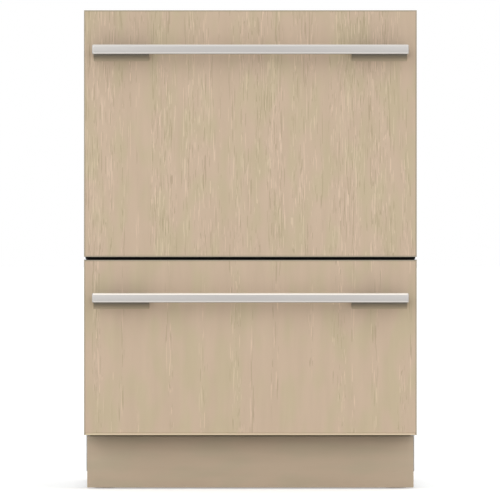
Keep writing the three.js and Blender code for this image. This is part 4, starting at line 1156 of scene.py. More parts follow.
def rack(prefix):
    """A rack of coated wire with two rows of plate tines, shoes on its legs and two grips."""
    node, body = f"{prefix}_rack", f"{prefix}_drawer"
    low, high = span(node)
    centre_y = (low.y + high.y) / 2
    half_x = (high.x - low.x) / 2 - WIRE_RADIUS
    half_y = (high.y - low.y) / 2 - WIRE_RADIUS
    base = low.z + RACK_ABOVE_FLOOR - SEAT_GAP - REST_HEIGHT[prefix]
    rail = base + RACK_HEIGHT[prefix]
    upper = base + WIRE_STACK
    cross = spaced(centre_y - half_y, centre_y + half_y, CROSS_WIRES)
    lengthwise = spaced(-half_x, half_x, LONG_WIRES)
    tines = spaced(centre_y - half_y + TINE_MARGIN, centre_y + half_y - TINE_MARGIN, TINES)

    hoops = [
        bent([(-half_x, y, rail), (-half_x, y, base), (half_x, y, base), (half_x, y, rail)], 9)
        for y in cross
    ]
    front, back = cross[0], cross[-1]
    cradles = [
        bent([(x, front, rail), (x, front, upper), (x, back, upper), (x, back, rail)], 9)
        for x in lengthwise[1:-1]
    ]
    sills = [[(x, front, upper), (x, back, upper)] for x in (-half_x, half_x)]
    rim = rounded_loop(half_x, half_y, 8, (0, centre_y, rail))
    legs = [[(x, y, low.z + 3), (x, y, base)] for x, y in leg_places(prefix)]
    tip = upper + TINE_HEIGHT - TIP_LENGTH
    prongs = [
        [(lengthwise[row], y, upper), (lengthwise[row], y, tip)]
        for row in FIXED_ROWS
        for y in tines
    ]
    shapes = [
        wires(hoops, UPRIGHT_RADIUS),
        wires(cradles + sills + legs, UPRIGHT_RADIUS),
        wires([rim], WIRE_RADIUS, closed=True),
        wires(prongs, TINE_RADIUS, fineness=2),
        tine_tips([prong[1] for prong in prongs]),
    ]
    piece(f"{prefix}_wire_rack", shapes, WIRE, body, [node])

    shoe = [(0, 0), (4, 0), (5.2, 2), (5.2, 11), (3.2, 15), (0, 15)]
    shoes = [turned(shoe, Vector(foot) - 3 * Z, steps=20) for foot, _ in legs]
    grips = [
        block((-GRIP_HALF, y - 3.4, rail - 10), (GRIP_HALF, y + behind, rail + 2), 1.8, 3)
        for y, behind in ((front, 3.4), (back, 2.1))
    ]
    piece(f"{prefix}_rack_shoes", shoes + grips, DARK, body)


def folding_tines(prefix):
    """A row of plate tines on a rod that turns flat, in clips on the rack."""
    node = f"{prefix}_folding_tines"
    low, high = span(node)
    x, z = (low.x + high.x) / 2, low.z + WIRE_RADIUS
    rack_low, rack_high = span(f"{prefix}_rack")
    first = rack_low.y + WIRE_RADIUS + TINE_MARGIN
    last = rack_high.y - WIRE_RADIUS - TINE_MARGIN
    prongs = [[(x, y, z), (x, y, high.z - TIP_LENGTH)] for y in spaced(first, last, TINES)]
    shapes = [
        wires([[(x, low.y, z), (x, high.y, z)]], WIRE_RADIUS),
        wires(prongs, TINE_RADIUS, fineness=2),
        tine_tips([prong[1] for prong in prongs]),
    ]
    piece(f"{prefix}_tine_row", shapes, WIRE, node, [node])
    clips = [
        block((x - 4.4, y - 5, z - 2.2), (x + 4, y + 5, z + 4.4), 1.4, 3)
        for y in (low.y + CLIP_INSET, high.y - CLIP_INSET)
    ]
    piece(f"{prefix}_tine_clips", clips, DARK, f"{prefix}_drawer")


SHELF_BAR = 5
SHELF_SLATS = 9
SHELF_END = 10
STEM_REST = 13  # radius of the dips that glass stems lie in


def cup_shelf():
    """A folding shelf of slats on a hinge rod, its front rail dipped for the stems of glasses."""
    node = "top_cup_shelf"
    low, high = span(node)
    hinge_x, hinge_z = low.x + SHELF_BAR / 2, low.z + SHELF_BAR / 2
    rail_x = high.x - SHELF_BAR
    slat_y = spaced(low.y + SHELF_BAR, high.y - SHELF_BAR, SHELF_SLATS)
    pitch = slat_y[1] - slat_y[0]
    shapes = [rod((hinge_x, low.y, hinge_z), (hinge_x, high.y, hinge_z), SHELF_BAR / 2, 20, 0.6)]
    rail = block((rail_x, low.y, low.z), (high.x, high.y, high.z - 2.2), 1.6, 3)
    dips = []
    for y in (y + pitch / 2 for y in slat_y[:-1]):
        dips.append(rod((high.x - 9, y, high.z + 5), (high.x + 4, y, high.z + 5), STEM_REST, 32))
    shapes.append(soften(carved(rail, dips), 0.5))
    for y in slat_y:
        slat_low = (hinge_x, y - SHELF_BAR / 2, low.z + 0.4)
        slat_high = (high.x - 1, y + SHELF_BAR / 2, low.z + SHELF_BAR - 0.6)
        shapes.append(block(slat_low, slat_high, 1.3, 3))
    for x in spaced(hinge_x + 20, high.x - 24, 2):
        tie_low, tie_high = (x - 1.6, slat_y[0], low.z + 0.8), (x + 1.6, slat_y[-1], low.z + 4)
        shapes.append(block(tie_low, tie_high, 0.8))
    for y in (low.y, high.y - SHELF_END):
        shapes.append(block((rail_x, y, low.z + 3), (high.x, y + SHELF_END, high.z), 1.6, 3))
    piece("top_glass_shelf", shapes, PALE, node, [node])


BASKET_WALL = 2.4
BASKET_RIM = 3.6
BASKET_HEIGHT = 112
BASKET_CELLS = 3
BASKET_GRIP = 62
BASKET_GRIP_RADIUS = 2.4
LATTICE_PITCH = 7.5


def lattice_wall(start, end, low_z, high_z, thickness):
    """A basket wall between two points: solid foot and rim, and upright and level bars between."""
    start, end = Vector(start), Vector(end)
    along = (end - start).normalized()
    across = Vector((along.y, -along.x, 0)) * (thickness / 2)
    length = (end - start).length
    foot, rim = low_z + 14, high_z - 12

    def bar(from_along, to_along, from_z, to_z, share=1.0):
        a = start + along * from_along - across * share
        b = start + along * to_along + across * share
        low = (min(a.x, b.x), min(a.y, b.y), from_z)
        return block(low, (max(a.x, b.x), max(a.y, b.y), to_z), 0.5)

    shapes = [bar(0, length, low_z, foot), bar(0, length, rim, high_z)]
    count = max(2, round(length / LATTICE_PITCH))
    for i in range(count + 1):
        at = length * i / count
        half = 1.8 if i in (0, count) else 0.9
        shapes.append(bar(max(0, at - half), min(length, at + half), foot - 1, rim + 1, 0.8))
    for level in spaced(foot, rim, 5)[1:-1]:
        shapes.append(bar(0, length, level - 0.9, level + 0.9, 0.7))
    return shapes


def cutlery_basket():
    """A basket of three cells with lattice walls, a rim and a bow to lift it by."""
    node = "top_cutlery_basket"
    low, high = span(node)
    top = low.z + BASKET_HEIGHT
    wall = BASKET_WALL / 2
    y_lines = spaced(low.y + wall, high.y - wall, BASKET_CELLS + 1)
    shapes = [block((low.x, low.y, low.z), (high.x, high.y, low.z + BASKET_WALL), 0.7)]
    lines = [((x, low.y, 0), (x, high.y, 0)) for x in (low.x + wall, high.x - wall)]
    lines += [((low.x, y, 0), (high.x, y, 0)) for y in y_lines]
    for start, end in lines:
        shapes += lattice_wall(start, end, low.z, top, BASKET_WALL)
    lip = rounded_block((low.x, low.y, top - 5), (high.x, high.y, top), 4, 1.2)
    inner_low = (low.x + BASKET_RIM, low.y + BASKET_RIM, top - 9)
    inner_high = (high.x - BASKET_RIM, high.y - BASKET_RIM, top + 3)
    shapes.append(carved(lip, [rounded_block(inner_low, inner_high, 3)]))
    centre_x, grip_y = (low.x + high.x) / 2, y_lines[1]
    half, bow_z = BASKET_GRIP / 2 - BASKET_GRIP_RADIUS, high.z - BASKET_GRIP_RADIUS - 0.2
    corners = ((-half, top - 6), (-half, bow_z), (half, bow_z), (half, top - 6))
    bow = bent([(centre_x + x, grip_y, z) for x, z in corners], 12, 6)
    shapes.append(wires([bow], BASKET_GRIP_RADIUS))
    piece("top_cutlery_holder", shapes, GREY, "top_drawer", [node])


# ---------------------------------------------------------------- dispensers
CAP_RIDGES = 28
CAP_STAND = 4  # the rinse aid's cap stands this far before the block's face
FLAP_SEAM = 0.8


def dispenser(prefix):
    """Detergent cup behind its flap, and the rinse aid's turned cap, in one moulded block."""
    node, flap, body = f"{prefix}_dispenser", f"{prefix}_dispenser_flap", f"{prefix}_drawer"
    low, high = span(node)
    flap_low, flap_high = span(flap)
    face = high.y - CAP_STAND
    case = block(low, (high.x, face, high.z), 4, 4)
    recess = rounded_block(
        (flap_low.x - FLAP_SEAM, flap_low.y - 0.9, flap_low.z - FLAP_SEAM),
        (flap_high.x + FLAP_SEAM, face + 3, flap_high.z + FLAP_SEAM),
        0.01,
    )
    cup = block(
        (flap_low.x + 6, flap_low.y - 15, flap_low.z + 6),
        (flap_high.x - 6, face + 1, flap_high.z - 6),
        3,
        3,
    )
    latch_low, latch_high = flap_high.x - 56, flap_high.x - 36
    well = flat_box(
        (latch_low, flap_low.y - 1, flap_high.z), (latch_high, face + 2, flap_high.z + 5)
    )
    case = carved(case, [recess, cup, well])
    x, z = (flap_high.x + high.x) / 2, (low.z + high.z) / 2
    seat = turned(
        [(15.5, -1.2), (19, -1.2), (19, 0.6), (18.2, 1.2), (16.2, 1.2), (15.5, 0.5), (15.5, -1.2)],
        (x, face, z),
        Y,
    )
    piece(f"{prefix}_soap_case", [case, seat], PALE, body, [node])
    cap = turned([(0, -1), (15, -1), (15, 2.4), (13.8, 3.4), (0, 3.4)], (x, face, z), Y)
    grip = block((x - 11, face + 2, z - 2), (x + 11, high.y, z + 2), 0.9)
    ridge_low, ridge_high = (x + 13.6, face - 0.5, z - 0.6), (x + 15.3, face + 2.2, z + 0.6)
    ridges = block_ring(ridge_low, ridge_high, 0.2, CAP_RIDGES, (x, 0, z), "Y")
    piece(f"{prefix}_rinse_cap", [cap, grip, *ridges], DARK, body)
    latch = block(
        (latch_low + 2, flap_low.y + 0.4, flap_high.z + 0.6),
        (latch_high - 2, face + 1.6, flap_high.z + 4.4),
        0.8,
    )
    piece(f"{prefix}_soap_latch", [latch], DARK, body)

    dish = rounded_block(
        (flap_low.x + 7, flap_high.y - 0.9, flap_low.z + 9),
        (flap_high.x - 7, flap_high.y + 3, flap_high.z - 9),
        2,
        steps=4,
        axis=Y,
    )
    door = carved(block(flap_low, flap_high, 0.9, 3), [dish])
    near, far = flap_high.y - 1.1, flap_high.y - 0.1
    bars = [
        block((flap_low.x + 14, near, level - 0.7), (flap_high.x - 14, far, level + 0.7), 0.3)
        for level in spaced(flap_low.z + 16, flap_high.z - 16, 4)
    ]
    piece(f"{prefix}_soap_flap", [door, *bars], GREY, flap, [flap])


# ---------------------------------------------------------------- lids
LUG_LENGTH = 14  # behind the slab
LUG_SLOT = 12.6  # on each side of the lug's middle, and below the lid for its drop
SEAL_WIDTH = 10
POCKET_COLUMNS, POCKET_ROWS = 6, 5


def drawer_lid(prefix):
    """The lid that drops on the tub for the wash, ribbed above, with its seal below."""
    node, seal = f"{prefix}_lid", f"{prefix}_lid_seal"
    low, high = span(node)
    slab_back = high.y - LUG_LENGTH
    slab = rounded_block(low, (high.x, slab_back, high.z), 6, 0.8, 4)
    pockets = []
    xs = spaced(low.x + 8, high.x - 8, POCKET_COLUMNS + 1)
    ys = spaced(low.y + 8, slab_back - 8, POCKET_ROWS + 1)
    for x0, x1 in zip(xs, xs[1:]):
        for y0, y1 in zip(ys, ys[1:]):
            near, far = (x0 + 1.5, y0 + 1.5, high.z - 4), (x1 - 1.5, y1 - 1.5, high.z + 2)
            pockets.append(rounded_block(near, far, 3, 0, 2))
    lug = block((-12, slab_back - 3, low.z), (12, high.y, high.z), 1.2)
    shapes = [carved(slab, pockets), lug]
    piece(f"{prefix}_lid_panel", shapes, PALE, node, [node])

    low, high = span(seal)
    centre_y = (low.y + high.y) / 2
    strip = rounded_block((low.x, low.y, high.z - 2.4), high, TUB_CORNER, 0.5, 9)
    hole_low = (low.x + SEAL_WIDTH, low.y + SEAL_WIDTH, high.z - 9)
    hole_high = (high.x - SEAL_WIDTH, high.y - SEAL_WIDTH, high.z + 9)
    strip = carved(strip, [rounded_block(hole_low, hole_high, TUB_CORNER - SEAL_WIDTH, 0, 9)])

    def bead(inset, level, radius, fineness):
        half_x, half_y = (high.x - low.x) / 2 - inset, (high.y - low.y) / 2 - inset
        place = (0, centre_y, low.z + level)
        loop = rounded_loop(half_x, half_y, TUB_CORNER - inset, place, 9)
        return wires([loop], radius, closed=True, fineness=fineness)

    shapes = [strip, bead(5, 3.4, 3.4, 4), bead(1.4, 4.2, 1.1, 2)]
    piece(f"{prefix}_lid_gasket", shapes, RUBBER, node, [seal])


def lid_actuator(prefix):
    """The geared motor on the rear sheet that raises and lowers the lid by its lug."""
    node = f"{prefix}_lid_actuator"
    low, high = span(node)
    lid_low, lid_high = span(f"{prefix}_lid")
    slot_high = (LUG_SLOT, lid_high.y + 1.2, high.z + 2)
    slot = flat_box((-LUG_SLOT, low.y - 1, lid_low.z - LUG_SLOT), slot_high)
    shapes = [carved(block(low, high, 2.4, 3), [slot])]
    for x in (low.x + 8, high.x - 8):
        shapes.append(rod((x, low.y - 0.6, low.z + 10), (x, low.y + 2, low.z + 10), 5, 24, 0.4))
    boss = [(0, -1.4), (13, -1.4), (15, 0), (15, 3), (0, 3)]
    shapes.append(turned(boss, (0, low.y, low.z + 24), Y))
    piece(f"{prefix}_lid_motor", shapes, DARK, "chassis", [node])


# ---------------------------------------------------------------- runners
GAUGE = 1.5
CARRIAGE_DEPTH = 7.3


def channel(low, high, web, lip, bend):
    """A rolled channel from web to lip along X, whose wall stays within its height."""
    corners = [(lip, 0, low.z), (web, 0, low.z), (web, 0, high.z), (lip, 0, high.z)]
    section = [(point.x, point.z) for point in bent(corners, bend)]
    inward = GAUGE if lip > web else -GAUGE
    shape = rolled(section, low.y, high.y, inward)
    if min(vert.co.z for vert in shape.verts) < low.z - 0.1:
        shape.free()
        shape = rolled(section, low.y, high.y, -inward)
    return shape


def runner(node, name, finish, body, bend):
    """One rolled member of a runner: a channel whose lips point at the drawer."""
    low, high = span(node)
    inward = 1 if low.x + high.x < 0 else -1
    web, lip = (low.x, high.x) if inward > 0 else (high.x, low.x)
    shapes = [channel(low, high, web, lip, bend)]
    rivet = [(0, 0.9), (2.6, 0.7), (3.6, -0.2), (0, -0.2)]
    for y in spaced(low.y + 40, high.y - 40, 5):
        place = (web + inward * GAUGE, y, (low.z + high.z) / 2)
        shapes.append(turned(rivet, place, X * inward, 20))
    piece(name, shapes, finish, body, [node])


def runners(prefix):
    for side, _ in SIDES:
        fixed, moving = f"{prefix}_outer_runner_{side}", f"{prefix}_middle_runner_{side}"
        name = f"{prefix}_fixed_member_{side}"
        runner(fixed, name, ZINC, "chassis", 4)
        name = f"{prefix}_moving_member_{side}"
        runner(moving, name, RUNNER_STEEL, moving, 3)


def carriage(prefix):
    """The two inner members, under the tub's bosses, and the bar that ties them at the back."""
    node = f"{prefix}_runner_carriage"
    low, high = span(node)
    web, lip, mid_z = high.x - CARRIAGE_DEPTH, high.x, (low.z + high.z) / 2
    shapes, rivets = [], []
    rivet = [(0, 1.0), (3, 0.8), (4, -0.2), (0, -0.2)]
    for _, side in SIDES:
        shapes.append(channel(low, high, web * side, lip * side, 2.5))
        for y in spaced(low.y + 30, high.y - 60, 4):
            rivets.append(turned(rivet, ((web + GAUGE) * side, y, mid_z), X * side, 20))
    bar = block((-web - 1, high.y - 2.5, low.z), (web + 1, high.y, high.z), 0.5)
    holes = [
        rod((x, high.y - 5, mid_z), (x, high.y + 3, mid_z), 6)
        for x in spaced(-web + 60, web - 60, 6)
    ]
    shapes += [carved(bar, holes), *rivets]
    piece(f"{prefix}_carriage", shapes, RUNNER_STEEL, f"{prefix}_drawer", [node])


# ---------------------------------------------------------------- chassis
SHEET = 1.5
SWAGES = 4  # long shallow pressings that stiffen a sheet
SWAGE_WIDTH = 12
SWAGE_DEPTH = 0.7
SWAGE_MARGIN = 40
SWAGE_SPAN = 860  # the side's swages are spread up to this height
TOE_DEPTH = 45


def side_sheet(side, sign):
    """A side of the chassis, notched for the toe space, with swages, fixing slots and screws."""
    node = f"{side}_side_sheet"
    low, high = span(node)
    toe = span("bottom_front_panel")[0].z
    outline = [
        (low.y + TOE_DEPTH, low.z),
        (high.y, low.z),
        (high.y, high.z),
        (low.y, high.z),
        (low.y, toe),
        (low.y + TOE_DEPTH, toe),
    ]
    sheet = plate([(low.x, y, z) for y, z in outline], (SHEET, 0, 0))
    face_x = high.x if sign > 0 else low.x
    tools = []
    for i in range(SWAGES):
        z = toe + (i + 1) * (SWAGE_SPAN - toe) / (SWAGES + 1)
        near = (face_x - SWAGE_DEPTH, low.y + SWAGE_MARGIN, z - SWAGE_WIDTH / 2)
        far = (face_x + SWAGE_DEPTH, high.y - SWAGE_MARGIN, z + SWAGE_WIDTH / 2)
        tools.append(rounded_block(near, far, 5.9, steps=5, axis=X))
    for y in spaced(low.y + 70, high.y - 70, 3):  # slots for the side fixing screws
        near, far = (low.x - 1, y - 9, toe + 20), (high.x + 1, y + 9, toe + 26)
        tools.append(rounded_block(near, far, 2.9, steps=4, axis=X))
    places = []
    for prefix in DRAWERS:
        runner_low, runner_high = span(f"{prefix}_outer_runner_{side}")
        for y in spaced(runner_low.y + 30, runner_high.y - 30, 4):
            places += [(y, runner_low.z + 13), (y, runner_high.z - 13)]
    places += [(high.y - 9, z) for z in spaced(toe + 40, high.z - 20, 6)]
    places += [(y, high.z - 8) for y in spaced(low.y + 20, high.y - 40, 4)]
    screws = [screw((face_x, y, z), X * sign) for y, z in places]
    sheet = carved(sheet, tools)
    piece(f"{side}_chassis_side", [sheet], ZINC, "chassis", [node])
    piece(f"{side}_side_screws", screws, RUNNER_STEEL, "chassis")


VENTS = 6
VENT_WIDTH = 60
VENT_HEIGHT = 5
VENT_PITCH = 14
VENT_DROP = 60
PRESSING = 0.7  # how far the rear sheet's fields are pressed in


def rear_sheet():
    """The back of the chassis: three pressed fields, two columns of vents, and screws."""
    node = "rear_sheet"
    low, high = span(node)
    sheet = block(low, high, 0.3, 1)
    levels = spaced(low.z + 16, high.z - 16, 4)
    fields = []
    for z0, z1 in zip(levels, levels[1:]):
        near, far = (low.x + 22, high.y - PRESSING, z0 + 7), (high.x - 22, high.y + 2, z1 - 7)
        fields.append(rounded_block(near, far, 14, steps=5, axis=Y))
    vents = []
    for i in range(VENTS):
        z = high.z - VENT_DROP - i * VENT_PITCH
        for x in (-high.x / 2, high.x / 2):
            near = (x - VENT_WIDTH / 2, low.y - 2, z - VENT_HEIGHT / 2)
            far = (x + VENT_WIDTH / 2, high.y + 2, z + VENT_HEIGHT / 2)
            vents.append(rounded_block(near, far, 2.4, steps=4, axis=Y))
    sheet = carved(carved(sheet, fields), vents)
    piece("chassis_back", [sheet], ZINC, "chassis", [node])
    sides, ends = (low.x + 30, high.x - 30), (low.z + 30, high.z - 30)
    places = [(x, z) for z in spaced(low.z + 24, high.z - 24, 5) for x in sides]
    places += [(x, z) for z in ends for x in spaced(low.x + 140, high.x - 140, 3)]
    heads = [screw((x, high.y - PRESSING, z), Y, rise=PRESSING * 0.95) for x, z in places]
    piece("back_screws", heads, RUNNER_STEEL, "chassis")


BRACE_REACH = 295.7


def top_sheet():
    """The top of the chassis with its cross brace at the front."""
    node = "top_sheet"
    low, high = span(node)
    sheet = block((low.x, low.y, high.z - SHEET), high, 0.5, 1)
    tools = []
    for y in spaced(low.y, high.y, 5)[1:-1]:
        near, far = (low.x + 50, y - 9, high.z - SWAGE_DEPTH), (high.x - 50, y + 9, high.z + 2)
        tools.append(rounded_block(near, far, 8.8, steps=5))
    for x in spaced(low.x + 60, high.x - 60, 4):
        near, far = (x - 3, low.y + 8, high.z - 9), (x + 3, low.y + 20, high.z + 3)
        tools.append(rounded_block(near, far, 2.9, steps=4))
    brace_low = (-BRACE_REACH, low.y + 2, low.z)
    brace = block(brace_low, (BRACE_REACH, low.y + 28, high.z - SHEET + 0.5), 0.5, 1)
    shapes = [carved(sheet, tools), brace]
    piece("chassis_top", shapes, ZINC, "chassis", [node])
    sides = (14 - high.x, high.x - 14)
    places = [(x, y) for x in sides for y in spaced(low.y + 36, high.y - 24, 5)]
    places += [(x, high.y - 12) for x in spaced(low.x + 90, high.x - 90, 4)]
    heads = [screw((x, y, high.z), Z) for x, y in places]
    piece("top_screws", heads, RUNNER_STEEL, "chassis")


def centre_shelf():
    """The sheet between the drawers, with a black brace that shows behind the gap."""
    node = "centre_shelf"
    low, high = span(node)
    sheet = block((low.x, low.y, low.z), (high.x, high.y, low.z + SHEET), 0.4, 1)
    swages = []
    for y in spaced(low.y + 90, high.y - 60, 4):
        near, far = (low.x + 30, y - 8, low.z + SHEET - 0.6), (high.x - 30, y + 8, low.z + 5)
        swages.append(rounded_block(near, far, 7.8, steps=5))
    brace = block(low, (high.x, low.y + 26, high.z), 1.4, 3)
    shapes = [carved(sheet, swages), brace]
    piece("drawer_divider", shapes, BLACK, "chassis", [node])


FEET = ("front_left", "front_right", "rear_left", "rear_right")
BASE_HEIGHT = 14
PORT_RISE = 17  # of the ports' middle above the base
DRAIN_X, GLAND_X = -110, 200
# Outlines of the two ports with their bores: radius, and distance behind the base.
DRAIN_SPIGOT = [
    (7, -1),
    (10, -1),
    (10, 3),
    (8.6, 3.4),
    (8.6, 8),
    (10, 8),
    (8.6, 13),
    (10, 13),
    (8.4, 20),
    (6.4, 20),
    (6.4, 6),
    (7, 5),
    (7, -1),
]
CORD_GLAND = [
    (5.4, -1),
    (9, -1),
    (9, 9),
    (7.8, 10),
    (8.6, 11),
    (8.6, 17),
    (7.2, 20),
    (5.4, 20),
    (5.4, -1),
]


def base_plate():
    """The ribbed base tray, with the drain spigot and the mains inlet at its back."""
    node = "base_plate"
    low, high = span(node)
    top = low.z + BASE_HEIGHT
    slab = block(low, (high.x, high.y - SHEET, top), 1.6, 3)
    holes = []
    for name in FEET:
        at = middle(f"foot_{name}")
        holes.append(rod((at.x, at.y, low.z - 2), (at.x, at.y, top + 2), 5.6))
    shapes = [carved(slab, holes)]
    for x in spaced(low.x + 20, high.x - 20, 10):
        shapes.append(block((x - 1.5, low.y + 6, top - 1), (x + 1.5, high.y - 66, top + 5), 0.5))
    for y in spaced(low.y + 8, high.y - 70, 5):
        shapes.append(block((low.x + 8, y - 1.5, top - 1), (high.x - 8, y + 1.5, top + 5), 0.5))
    rear = high.y - 20
    for x, port in ((DRAIN_X, DRAIN_SPIGOT), (GLAND_X, CORD_GLAND)):
        shapes.append(block((x - 20, rear - 30, low.z + 7), (x + 20, rear, top + 34), 2.5, 3))
        shapes.append(turned(port, (x, rear, top + PORT_RISE), Y, 32))
    piece("base_tray", shapes, DARK, "chassis", [node])
    plug = [(0, 0), (5.3, 0), (5.3, 3), (0, 4)]
    grommet = turned(plug, (GLAND_X, rear + 4, top + PORT_RISE), Y, 24)
    piece("mains_grommet", [grommet], RUBBER, "chassis")


VALVE_PORT = 16  # length of the threaded port
VALVE_COIL = 18  # height of the coil above the body


def inlet_valve():
    """The solenoid valve that lets the water in, with its threaded port at the back."""
    node = "water_inlet_valve"
    low, high = span(node)
    x = (low.x + high.x) / 2
    front, top = high.y - VALVE_PORT, high.z - VALVE_COIL
    z = (low.z + top) / 2
    thread = [(9.2, -1), (13.2, -1), (13.2, 2)]
    for at in range(3, 15, 2):
        thread += [(12.1, at), (12.1, at + 0.4), (13.2, at + 1), (13.2, at + 1.4)]
    thread += [(12.1, 15.4), (12.1, 16), (9.2, 16), (9.2, -1)]
    shapes = [
        block(low, (high.x, front, top), 3, 3),
        turned(thread, (x, front, z), Y, 40),
        block((low.x + 2, low.y + 4, top - 1), (high.x - 2, front - 6, top + 2), 0.8),
    ]
    piece("inlet_valve_body", shapes, WHITE, "chassis", [node])
    coil_y = front - 22
    coil = [
        (0, top),
        (12, top),
        (12, high.z - 3),
        (10.5, high.z - 1.4),
        (4, high.z - 1.4),
        (3.4, high.z),
        (0, high.z),
    ]
    tabs = []
    for tab_x in (x - 4, x + 4):
        near, far = (tab_x - 0.4, coil_y - 16, top + 6), (tab_x + 0.4, coil_y - 10, top + 11)
        tabs.append(block(near, far, 0.15))
    coil = turned(coil, (x, coil_y, 0))
    piece("inlet_valve_coil", [coil], DARK, "chassis")
    screen = turned([(0, 0), (9.2, 0), (9.2, 0.6), (0, 0.6)], (x, front + 5, z), Y)
    piece("inlet_valve_tabs", [*tabs, screen], RUNNER_STEEL, "chassis")


SEAL_RISE = 2.6  # plinth seal above the kickboard's top edge
SEAL_DROP = 17.5  # and below it, on the back of the board
SEAL_THICKNESS = 2.5


def kickboard():
    """The board under the lower front, with the lip behind its top edge that keeps draughts out."""
    node = "kickboard"
    low, high = span(node)
    board = block(low, high, PANEL_EDGE)
    piece("oak_kickboard", [board], KICK_OAK, "chassis", [node])
    rear = high.y + SEAT_GAP
    seal_high = (high.x - 5, rear + SEAL_THICKNESS, high.z + SEAL_RISE)
    seal = block((low.x + 5, rear, high.z - SEAL_DROP), seal_high, 0.6)
    piece("plinth_seal", [seal], PLINTH_SEAL, "chassis")


THREAD_PITCH = 1.8
THREAD_START, THREAD_END = 30, 2  # above the floor, and below the stem's top


def feet():
    """Four levelling feet: a pad with a hexagon nut, and a threaded stem."""
    for name in FEET:
        node = f"foot_{name}"
        low, high = span(node)
        x, y, _ = (low + high) / 2
        pad = turned(
            [(0, 0), (20, 0), (22, 1.6), (22, 4.4), (20.5, 6), (12, 9), (0, 9)], (x, y, 0)
        )
        nut = rod((x, y, 8.5), (x, y, 29.7), 10, 6, 0.6)
        piece(f"{node}_pad", [pad, nut], DARK, node, [node])
        thread = [(0, 29), (4.3, 29)]
        for i in range(int((high.z - THREAD_START - THREAD_END) / THREAD_PITCH)):
            at = THREAD_START + i * THREAD_PITCH
            crest = at + THREAD_PITCH * 0.4, at + THREAD_PITCH * 0.55
            thread += [(4.2, at), (5, crest[0]), (5, crest[1])]
        thread += [(4.2, high.z - 1), (3.2, high.z), (0, high.z)]
        stem = turned(thread, (x, y, 0), steps=20)
        piece(f"{node}_stem", [stem], RUNNER_STEEL, node)


PER_DRAWER = (
    wooden_front,
    handle,
    inner_door,
    buttons,
    tub,
    wash_pump,
    filter_plate,
    spray_arm,
    rack,
    folding_tines,
    dispenser,
    drawer_lid,
    lid_actuator,
    runners,
    carriage,
)
for prefix in DRAWERS:
    for make in PER_DRAWER:
        make(prefix)
cup_shelf()
cutlery_basket()
for side, sign in SIDES:
    side_sheet(side, sign)
rear_sheet()
top_sheet()
centre_shelf()
base_plate()
inlet_valve()
kickboard()
feet()


# ---------------------------------------------------------------- floor, light and camera
FRAME_WIDTH = 900  # millimetres that the picture's width shows at the fronts
PICTURE_CENTRE = Vector((-0.7, 0, 431.4))
CAMERA_DISTANCE = 12000
SENSOR = 36
SOFT_LIGHT = 0.48  # the world's strength on surfaces
FLOOR_GLOW = 0.4
FLOOR_HALF = 150  # metres
FLOOR_DROP = 0.0002  # metres


def lit_background(tree, lit, shown):
    """Plain light for surfaces, and white where the camera, a gloss or a glass sees it."""
    path = tree.nodes.new("ShaderNodeLightPath")
    seen = path.outputs["Is Camera Ray"]
    for name in ("Is Glossy Ray", "Is Transmission Ray"):
        add = tree.nodes.new("ShaderNodeMath")
        add.operation = "MAXIMUM"
        tree.links.new(seen, add.inputs[0])
        tree.links.new(path.outputs[name], add.inputs[1])
        seen = add.outputs[0]
    mix = tree.nodes.new("ShaderNodeMixShader")
    tree.links.new(seen, mix.inputs[0])
    tree.links.new(lit, mix.inputs[1])
    tree.links.new(shown, mix.inputs[2])
    return mix


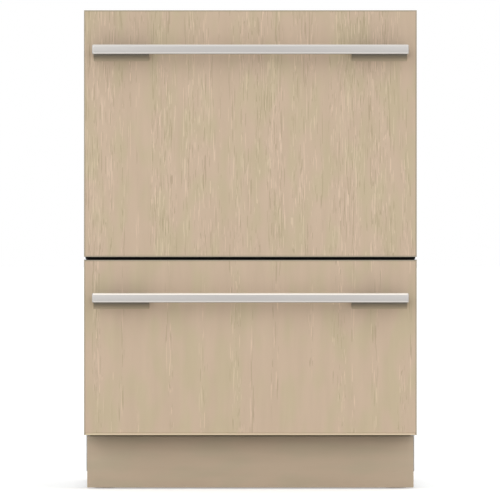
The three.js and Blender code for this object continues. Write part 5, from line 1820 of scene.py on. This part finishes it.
def studio():
    """Soft even light all round, and a floor that shows white but keeps the shadow."""
    world = bpy.data.worlds.new("studio")
    scene.world = world
    world.use_nodes = True
    tree = world.node_tree
    soft = tree.nodes["Background"]
    soft.inputs["Color"].default_value = (1, 1, 1, 1)
    soft.inputs["Strength"].default_value = SOFT_LIGHT
    white = tree.nodes.new("ShaderNodeBackground")
    white.inputs["Color"].default_value = (1, 1, 1, 1)
    white.inputs["Strength"].default_value = 1.0
    mix = lit_background(tree, soft.outputs[0], white.outputs[0])
    tree.links.new(mix.outputs[0], tree.nodes["World Output"].inputs["Surface"])

    mesh = bpy.data.meshes.new("floor")
    sheet = bmesh.new()
    bmesh.ops.create_grid(sheet, x_segments=1, y_segments=1, size=FLOOR_HALF)
    bmesh.ops.translate(sheet, vec=(0, 0, -FLOOR_DROP), verts=sheet.verts)
    sheet.to_mesh(mesh)
    sheet.free()
    floor = bpy.data.objects.new("floor", mesh)
    scene.collection.objects.link(floor)
    paper = Finish("floor_paper", roughness=0.9, specular=0.1)
    cloud = paper.noise((3, 3, 3))
    paper.put("Base Color", paper.blend(cloud, tone(243, 242, 240), tone(246, 245, 243)))
    glow = paper.tree.nodes.new("ShaderNodeEmission")
    glow.inputs["Strength"].default_value = FLOOR_GLOW
    sum_node = paper.tree.nodes.new("ShaderNodeAddShader")
    paper.tree.links.new(paper.surface.outputs[0], sum_node.inputs[0])
    paper.tree.links.new(glow.outputs[0], sum_node.inputs[1])
    mix = lit_background(paper.tree, paper.surface.outputs[0], sum_node.outputs[0])
    output = paper.tree.nodes["Material Output"]
    paper.tree.links.new(mix.outputs[0], output.inputs["Surface"])
    mesh.materials.append(paper.material)


def lamp(name, strength, spread, azimuth, elevation):
    """Even light from one direction; azimuth 0 is straight in front of the fronts."""
    data = bpy.data.lights.new(name, "SUN")
    data.energy = strength
    data.angle = math.radians(spread)
    made = bpy.data.objects.new(name, data)
    a, e = math.radians(azimuth), math.radians(elevation)
    source = Vector((math.sin(a) * math.cos(e), -math.cos(a) * math.cos(e), math.sin(e)))
    made.rotation_mode = "QUATERNION"
    made.rotation_quaternion = source.to_track_quat("Z", "Y")
    scene.collection.objects.link(made)


def camera():
    data = bpy.data.cameras.new("camera")
    data.sensor_width = SENSOR
    data.lens = SENSOR * CAMERA_DISTANCE / FRAME_WIDTH
    data.clip_start, data.clip_end = 1, 400
    made = bpy.data.objects.new("camera", data)
    front = span("top_front_panel")[0].y
    place = PICTURE_CENTRE + Vector((0, front - CAMERA_DISTANCE, 0))
    made.location = place * MM
    made.rotation_euler = (math.pi / 2, 0, 0)
    scene.collection.objects.link(made)
    scene.camera = made


studio()
lamp("key_left", 0.97, 60, -42, 20)
lamp("key_right", 0.84, 60, 42, 20)
lamp("overhead", 0.2, 50, 0, 82)
lamp("back_fill", 0.5, 60, 158, 35)
camera()
scene.view_settings.view_transform = "Standard"
